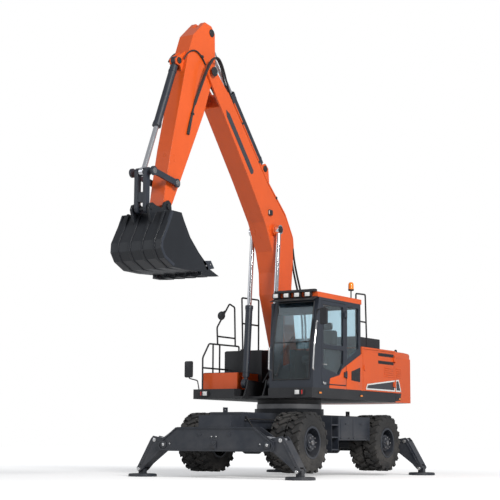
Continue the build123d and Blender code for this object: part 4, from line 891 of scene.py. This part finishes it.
def make_boom_pipes():
    for name, side in SIDES:
        pipes = bmesh.new()
        for i, y in enumerate(PIPE_Y):
            add_tube(pipes, [(x, side * y, z + PIPE_STEP * i) for x, z in PIPE_RUN], PIPE, 0.09)
        keep("boom_pipes_" + name, pipes, "boom", ORANGE)
    clamps = bmesh.new()
    for share, i in CLAMPS:
        (ax, az), (bx, bz) = PIPE_RUN[i], PIPE_RUN[i + 1]
        run = Vector((bx - ax, 0, bz - az)).normalized()
        lift = Vector((run.z, 0, -run.x))
        if lift.z < 0:
            lift = -lift
        centre = Vector((ax + (bx - ax) * share, 0, az + (bz - az) * share))
        corners = [centre + run * along + lift * up for along, up in CLAMP_SECTION]
        for side in (-1, 1):
            add_prism(clamps, [(c.x, c.z) for c in corners], "y", side * 0.085, side * 0.172, rim=0.003)
    keep("pipe_clamps", clamps, "boom", CHARCOAL)


def make_boom_details():
    make_boom_pipes()
    pins, eyes = bmesh.new(), bmesh.new()
    for side in (-1, 1):
        ear = face_beside("boom", ARM_CYLINDER_FOOT)
        add_pin_cap(pins, ARM_CYLINDER_FOOT, ear, side, 0.06, 0.042, 6, 0.009)
        add_pin_cap(pins, ARM_PIN, 0.235, side, 0.085, 0.058, 6, 0.009)
        add_disc(pins, (BOOM_FOOT[0], side * 0.23, BOOM_FOOT[1]), (0, side, 0), 0.075, 0.02, 28, 0.004)
        add_pin_cap(eyes, BOOM_EYE, face_beside("boom_cylinder_rods", BOOM_EYE), side, 0.062, 0.042, 4, 0.008, 0.012)
    keep("boom_pin_caps", pins, "boom", CHARCOAL)
    keep("rod_eye_caps", eyes, "boom_rods", CHARCOAL)
    tip, foot = Vector(BAND[0]), Vector(BAND[1])
    run = (foot - tip).normalized()
    over = Vector((-run.y, run.x)) * BAND_HALF
    outline = [
        tip + run * 0.02, tip + over + run * 0.14, foot + over, foot + over * 0.5 + run * 0.03,
        foot - over * 0.5 + run * 0.03, foot - over, tip - over + run * 0.14,
    ]
    for name, side in SIDES:
        keep_one("boom_decal_" + name, "boom", DECAL_DARK, add_prism, outline, "y", side * 0.1795, side * 0.183, 0.012)


# each cylinder: piece, body, places across, foot pin, rod pin, barrel length and radius
CYLINDERS = (
    ("boom_cylinder_glands", "boom_barrels", (-0.28, 0.28), BOOM_CYLINDER_FOOT, BOOM_EYE, 1.425, 0.064),
    ("arm_cylinder_gland", "arm_barrel", (0.0,), ARM_CYLINDER_FOOT, ARM_EYE, 1.60, 0.075),
    ("bucket_cylinder_gland", "bucket_barrel", (0.0,), BUCKET_CYLINDER_FOOT, LINK_TOP, 1.33, 0.065),
)
GLAND = ((0.001, -0.06), (0.010, -0.055), (0.010, -0.004), (0.006, 0.0), (0.001, 0.0))
COLLAR = ((0.001, -0.02), (0.006, -0.015), (0.006, 0.015), (0.001, 0.02))
COLLAR_REACH = 0.22


def make_cylinder_collars():
    """Gland rings on the barrels' open ends, and collars near their feet."""
    for name, body, places, foot_pin, rod_pin, length, radius in CYLINDERS:
        collars = bmesh.new()
        for y in places:
            foot, tip = Vector((foot_pin[0], y, foot_pin[1])), Vector((rod_pin[0], y, rod_pin[1]))
            run = (tip - foot).normalized()
            for profile, reach in ((GLAND, length), (COLLAR, COLLAR_REACH)):
                around = [(radius + out, along) for out, along in profile]
                add_lathe(collars, around, foot + run * reach, run, 28, closed=True)
        keep(name, collars, body, SLATE)


def make_hose(name, points, radius):
    """A hose laid along its route, fixed in place and tied to no body."""
    thing = keep_one(name, None, HOSE, add_tube, points, radius, order=4)
    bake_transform(thing)


def make_hoses():
    for name, side in SIDES:
        for i, y in enumerate(PIPE_Y):
            foot = [
                (-1.02 - 0.05 * i, y, 1.62), (-1.18 - 0.04 * i, y, 1.95), (-1.28 - 0.04 * i, y + 0.02, 2.55),
                (-1.12 - 0.04 * i, y + 0.02, 3.35), (-0.86 - 0.02 * i, y, 3.85), (-0.822, y, 4.19 + PIPE_STEP * i),
            ]
            tip = [
                (1.23, y, 6.516 + PIPE_STEP * i), (1.42, y, 6.74 + 0.02 * i), (1.66, 0.20 + 0.03 * i, 7.02 + 0.03 * i),
                (1.98, 0.275 + 0.03 * i, 7.24), (2.22, 0.265 + 0.03 * i, 7.00), (2.34, 0.20 + 0.03 * i, 6.60),
                (2.44, 0.16 + 0.005 * i, 6.30 - 0.05 * i),
            ]
            for label, route, bodies, radius in (("foot", foot, ("house", "boom"), 0.019),
                                                 ("tip", tip, ("boom", "arm"), 0.017)):
                route = [(x, side * across, z) for x, across, z in route]
                make_hose(f"{label}_hose_{name}_{i + 1}", route, radius)


ARM_HOSE = ((2.12, 0.156, 7.02), (2.30, 0.160, 7.20), (2.52, 0.163, 7.22), (2.70, 0.160, 7.08), (2.77, 0.160, 6.96))
ARM_CLAMPS = ((2.50, 6.08), (2.24, 7.14))


def make_arm_details():
    runs = bmesh.new()
    for side in (-1, 1):
        y = side * 0.158
        for i in range(2):
            add_tube(runs, [(2.44, y, 6.30 - 0.05 * i), (2.52 + 0.04 * i, y, 6.0), (2.60 + 0.04 * i, y, 5.7)], 0.014)
    for side in (-1, 1):
        add_tube(runs, [(x, side * y, z) for x, y, z in ARM_HOSE], 0.013, order=4)
    for side in (-1, 1):
        for x, z in ARM_CLAMPS:
            add_block(runs, (x - 0.03, side * 0.14, z - 0.02), (x + 0.03, side * 0.178, z + 0.02), 0.004)
    keep("arm_pipes", runs, "arm", HOSE)
    caps = bmesh.new()
    for side in (-1, 1):
        for pin, radius in ((ARM_EYE, 0.07), (BUCKET_CYLINDER_FOOT, 0.055), (BUCKET_PIN, 0.052)):
            add_pin_cap(caps, pin, face_beside("arm", pin), side, radius, radius * 0.68, 6, 0.008)
    keep("arm_pin_caps", caps, "arm", CHARCOAL)
    links = bmesh.new()
    for side in (-1, 1):
        for x, z in (GUIDE_PIN, LINK_TOP):
            add_disc(links, (x, side * 0.231, z), (0, side, 0), 0.048, 0.012, 24, 0.003)
            add_disc(links, (x, side * 0.242, z), (0, side, 0), 0.018, 0.008, 6)
    keep("guide_link_caps", links, "guide_links", STEEL)


# ---------------- bucket
BUCKET_BACK = ((3.53, 4.25), (3.67, 3.96), (3.79, 3.75), (3.80, 3.60), (3.70, 3.46), (3.45, 3.345), (3.05, 3.355))
STRIP_Y = (-0.36, -0.12, 0.12, 0.36)
STRIP_HALF = 0.024
SIDE_CUTTER = ((2.52, 3.40), (2.30, 3.45), (2.40, 3.57), (2.64, 3.54))
CUTTER_BOLTS = ((2.54, 3.47), (2.42, 3.50))


def pushed(points, reach):
    """An open line of points moved sideways by reach, to its left as it runs."""
    moved = []
    for i, point in enumerate(points):
        before, after = Vector(points[max(i - 1, 0)]), Vector(points[min(i + 1, len(points) - 1)])
        run = (after - before).normalized()
        moved.append((point[0] - run.y * reach, point[1] + run.x * reach))
    return moved


def ribbon(points, one, other):
    """The outline of a band along a line, from one distance beside it to another."""
    return pushed(points, one) + pushed(points, other)[::-1]


def make_bucket_details():
    strips = bmesh.new()
    for y in STRIP_Y:
        add_prism(strips, ribbon(BUCKET_BACK, 0.011, -0.012), "y", y - STRIP_HALF, y + STRIP_HALF, rim=0.002)
    keep("bucket_wear_strips", strips, "bucket", TOOL)
    for name, side in SIDES:
        y = side * BUCKET_SIDE
        plates = bmesh.new()
        add_prism(plates, SIDE_CUTTER, "y", y - side * 0.03, y, 0.008, 0.003)
        add_prism(plates, ribbon(BUCKET_BACK[:6], -0.010, -0.062), "y", y - side * 0.03, y + side * 0.004, rim=0.002)
        keep("bucket_side_plates_" + name, plates, "bucket", SLATE)
        bolts = bmesh.new()
        for x, z in CUTTER_BOLTS:
            add_disc(bolts, (x, y, z), (0, side, 0), 0.019, 0.004, 12)
            add_disc(bolts, (x, y, z), (0, side, 0), 0.015, 0.013, 6)
        keep("bucket_bolts_" + name, bolts, "bucket", STEEL)


for make in (
    make_wheels, make_chassis_details, make_rails, make_mirrors, make_lamps, make_flanks, make_cab_details,
    make_cushions, make_boom_details, make_cylinder_collars, make_hoses, make_arm_details, make_bucket_details,
):
    make()

# ---------------- floor, light and camera
FLOOR_SIZE = 60.0
GLOW_RUN = (5.0, 14.0)  # the floor's glow rises between these distances
GLOW = (0.36, 0.75)
AROUND = 0.38  # strength of the light from all round


def make_floor():
    """A pale floor; what the camera sees of it glows more, further off, so that it has no edge."""
    mesh = bpy.data.meshes.new("floor")
    shape = bmesh.new()
    bmesh.ops.create_grid(shape, x_segments=2, y_segments=2, size=FLOOR_SIZE)
    shape.to_mesh(mesh)
    shape.free()
    floor = bpy.data.objects.new("floor", mesh)
    bpy.context.scene.collection.objects.link(floor)
    material, tree, shader = new_material("floor_pale")
    place = node(tree, "TexCoord").outputs["Object"]
    distance = node(tree, "VectorMath", {0: place}, operation="LENGTH").outputs["Value"]
    seen = node(tree, "LightPath").outputs["Is Camera Ray"]
    feed(tree, shader, {
        "Base Color": (0.80, 0.80, 0.80), "Roughness": 0.9, "Emission Color": (1, 1, 1),
        "Emission Strength": math_node(tree, "MULTIPLY", seen, remap(tree, distance, *GLOW_RUN, *GLOW)),
    })
    mesh.materials.append(material)


def make_world():
    """Soft light from all round, with plain white behind the machine and its glass."""
    world = bpy.context.scene.world or bpy.data.worlds.new("world")
    bpy.context.scene.world = world
    world.use_nodes = True
    tree = world.node_tree
    back = tree.nodes["Background"]
    feed(tree, back, {"Color": (0.92, 0.95, 1.0), "Strength": AROUND})
    pale = node(tree, "Background", {"Color": (1, 1, 1)})
    seen = node(tree, "LightPath").outputs
    direct = math_node(tree, "MAXIMUM", seen["Is Camera Ray"], seen["Is Transmission Ray"])
    blend = node(tree, "MixShader", {0: direct, 1: back.outputs[0], 2: pale.outputs[0]})
    feed(tree, tree.nodes["World Output"], {"Surface": blend.outputs[0]})


def area_lamp(name, place, aim, size, power, colour=(1, 1, 1)):
    data = bpy.data.lights.new(name, "AREA")
    data.shape = "DISK"
    data.size = size
    data.energy = power
    data.color = colour
    lamp = bpy.data.objects.new(name, data)
    lamp.location = place
    lamp.rotation_euler = (Vector(aim) - Vector(place)).to_track_quat("-Z", "Y").to_euler()
    bpy.context.scene.collection.objects.link(lamp)


make_floor()
make_world()
area_lamp("key", (9, 18, 13), (0, 0, 2.5), 8, 4700, (1.0, 0.98, 0.95))
area_lamp("fill", (16, -14, 9), (0, 0, 3), 12, 380, (0.93, 0.96, 1.0))

CAMERA_PLACE = Vector((20.26, 12.71, 0.63))
CAMERA_YAW = radians(180 + 32.66)
CAMERA_PITCH = radians(8.215)
CAMERA_ROLL = radians(0.35)
SENSOR = 36.0
FOCAL = 95.1984


def make_camera():
    data = bpy.data.cameras.new("camera")
    data.sensor_width = SENSOR
    data.lens = FOCAL
    data.clip_end = 200
    camera = bpy.data.objects.new("camera", data)
    forward = Vector((cos(CAMERA_PITCH) * cos(CAMERA_YAW), cos(CAMERA_PITCH) * sin(CAMERA_YAW), sin(CAMERA_PITCH)))
    level = Vector((sin(CAMERA_YAW), -cos(CAMERA_YAW), 0))
    lift = level.cross(forward)
    right = level * cos(CAMERA_ROLL) + lift * sin(CAMERA_ROLL)
    up = lift * cos(CAMERA_ROLL) - level * sin(CAMERA_ROLL)
    turn = Matrix((right, up, -forward)).transposed()
    camera.matrix_world = Matrix.Translation(CAMERA_PLACE) @ turn.to_4x4()
    bpy.context.scene.collection.objects.link(camera)
    bpy.context.scene.camera = camera


make_camera()
bpy.context.scene.view_settings.view_transform = "Standard"
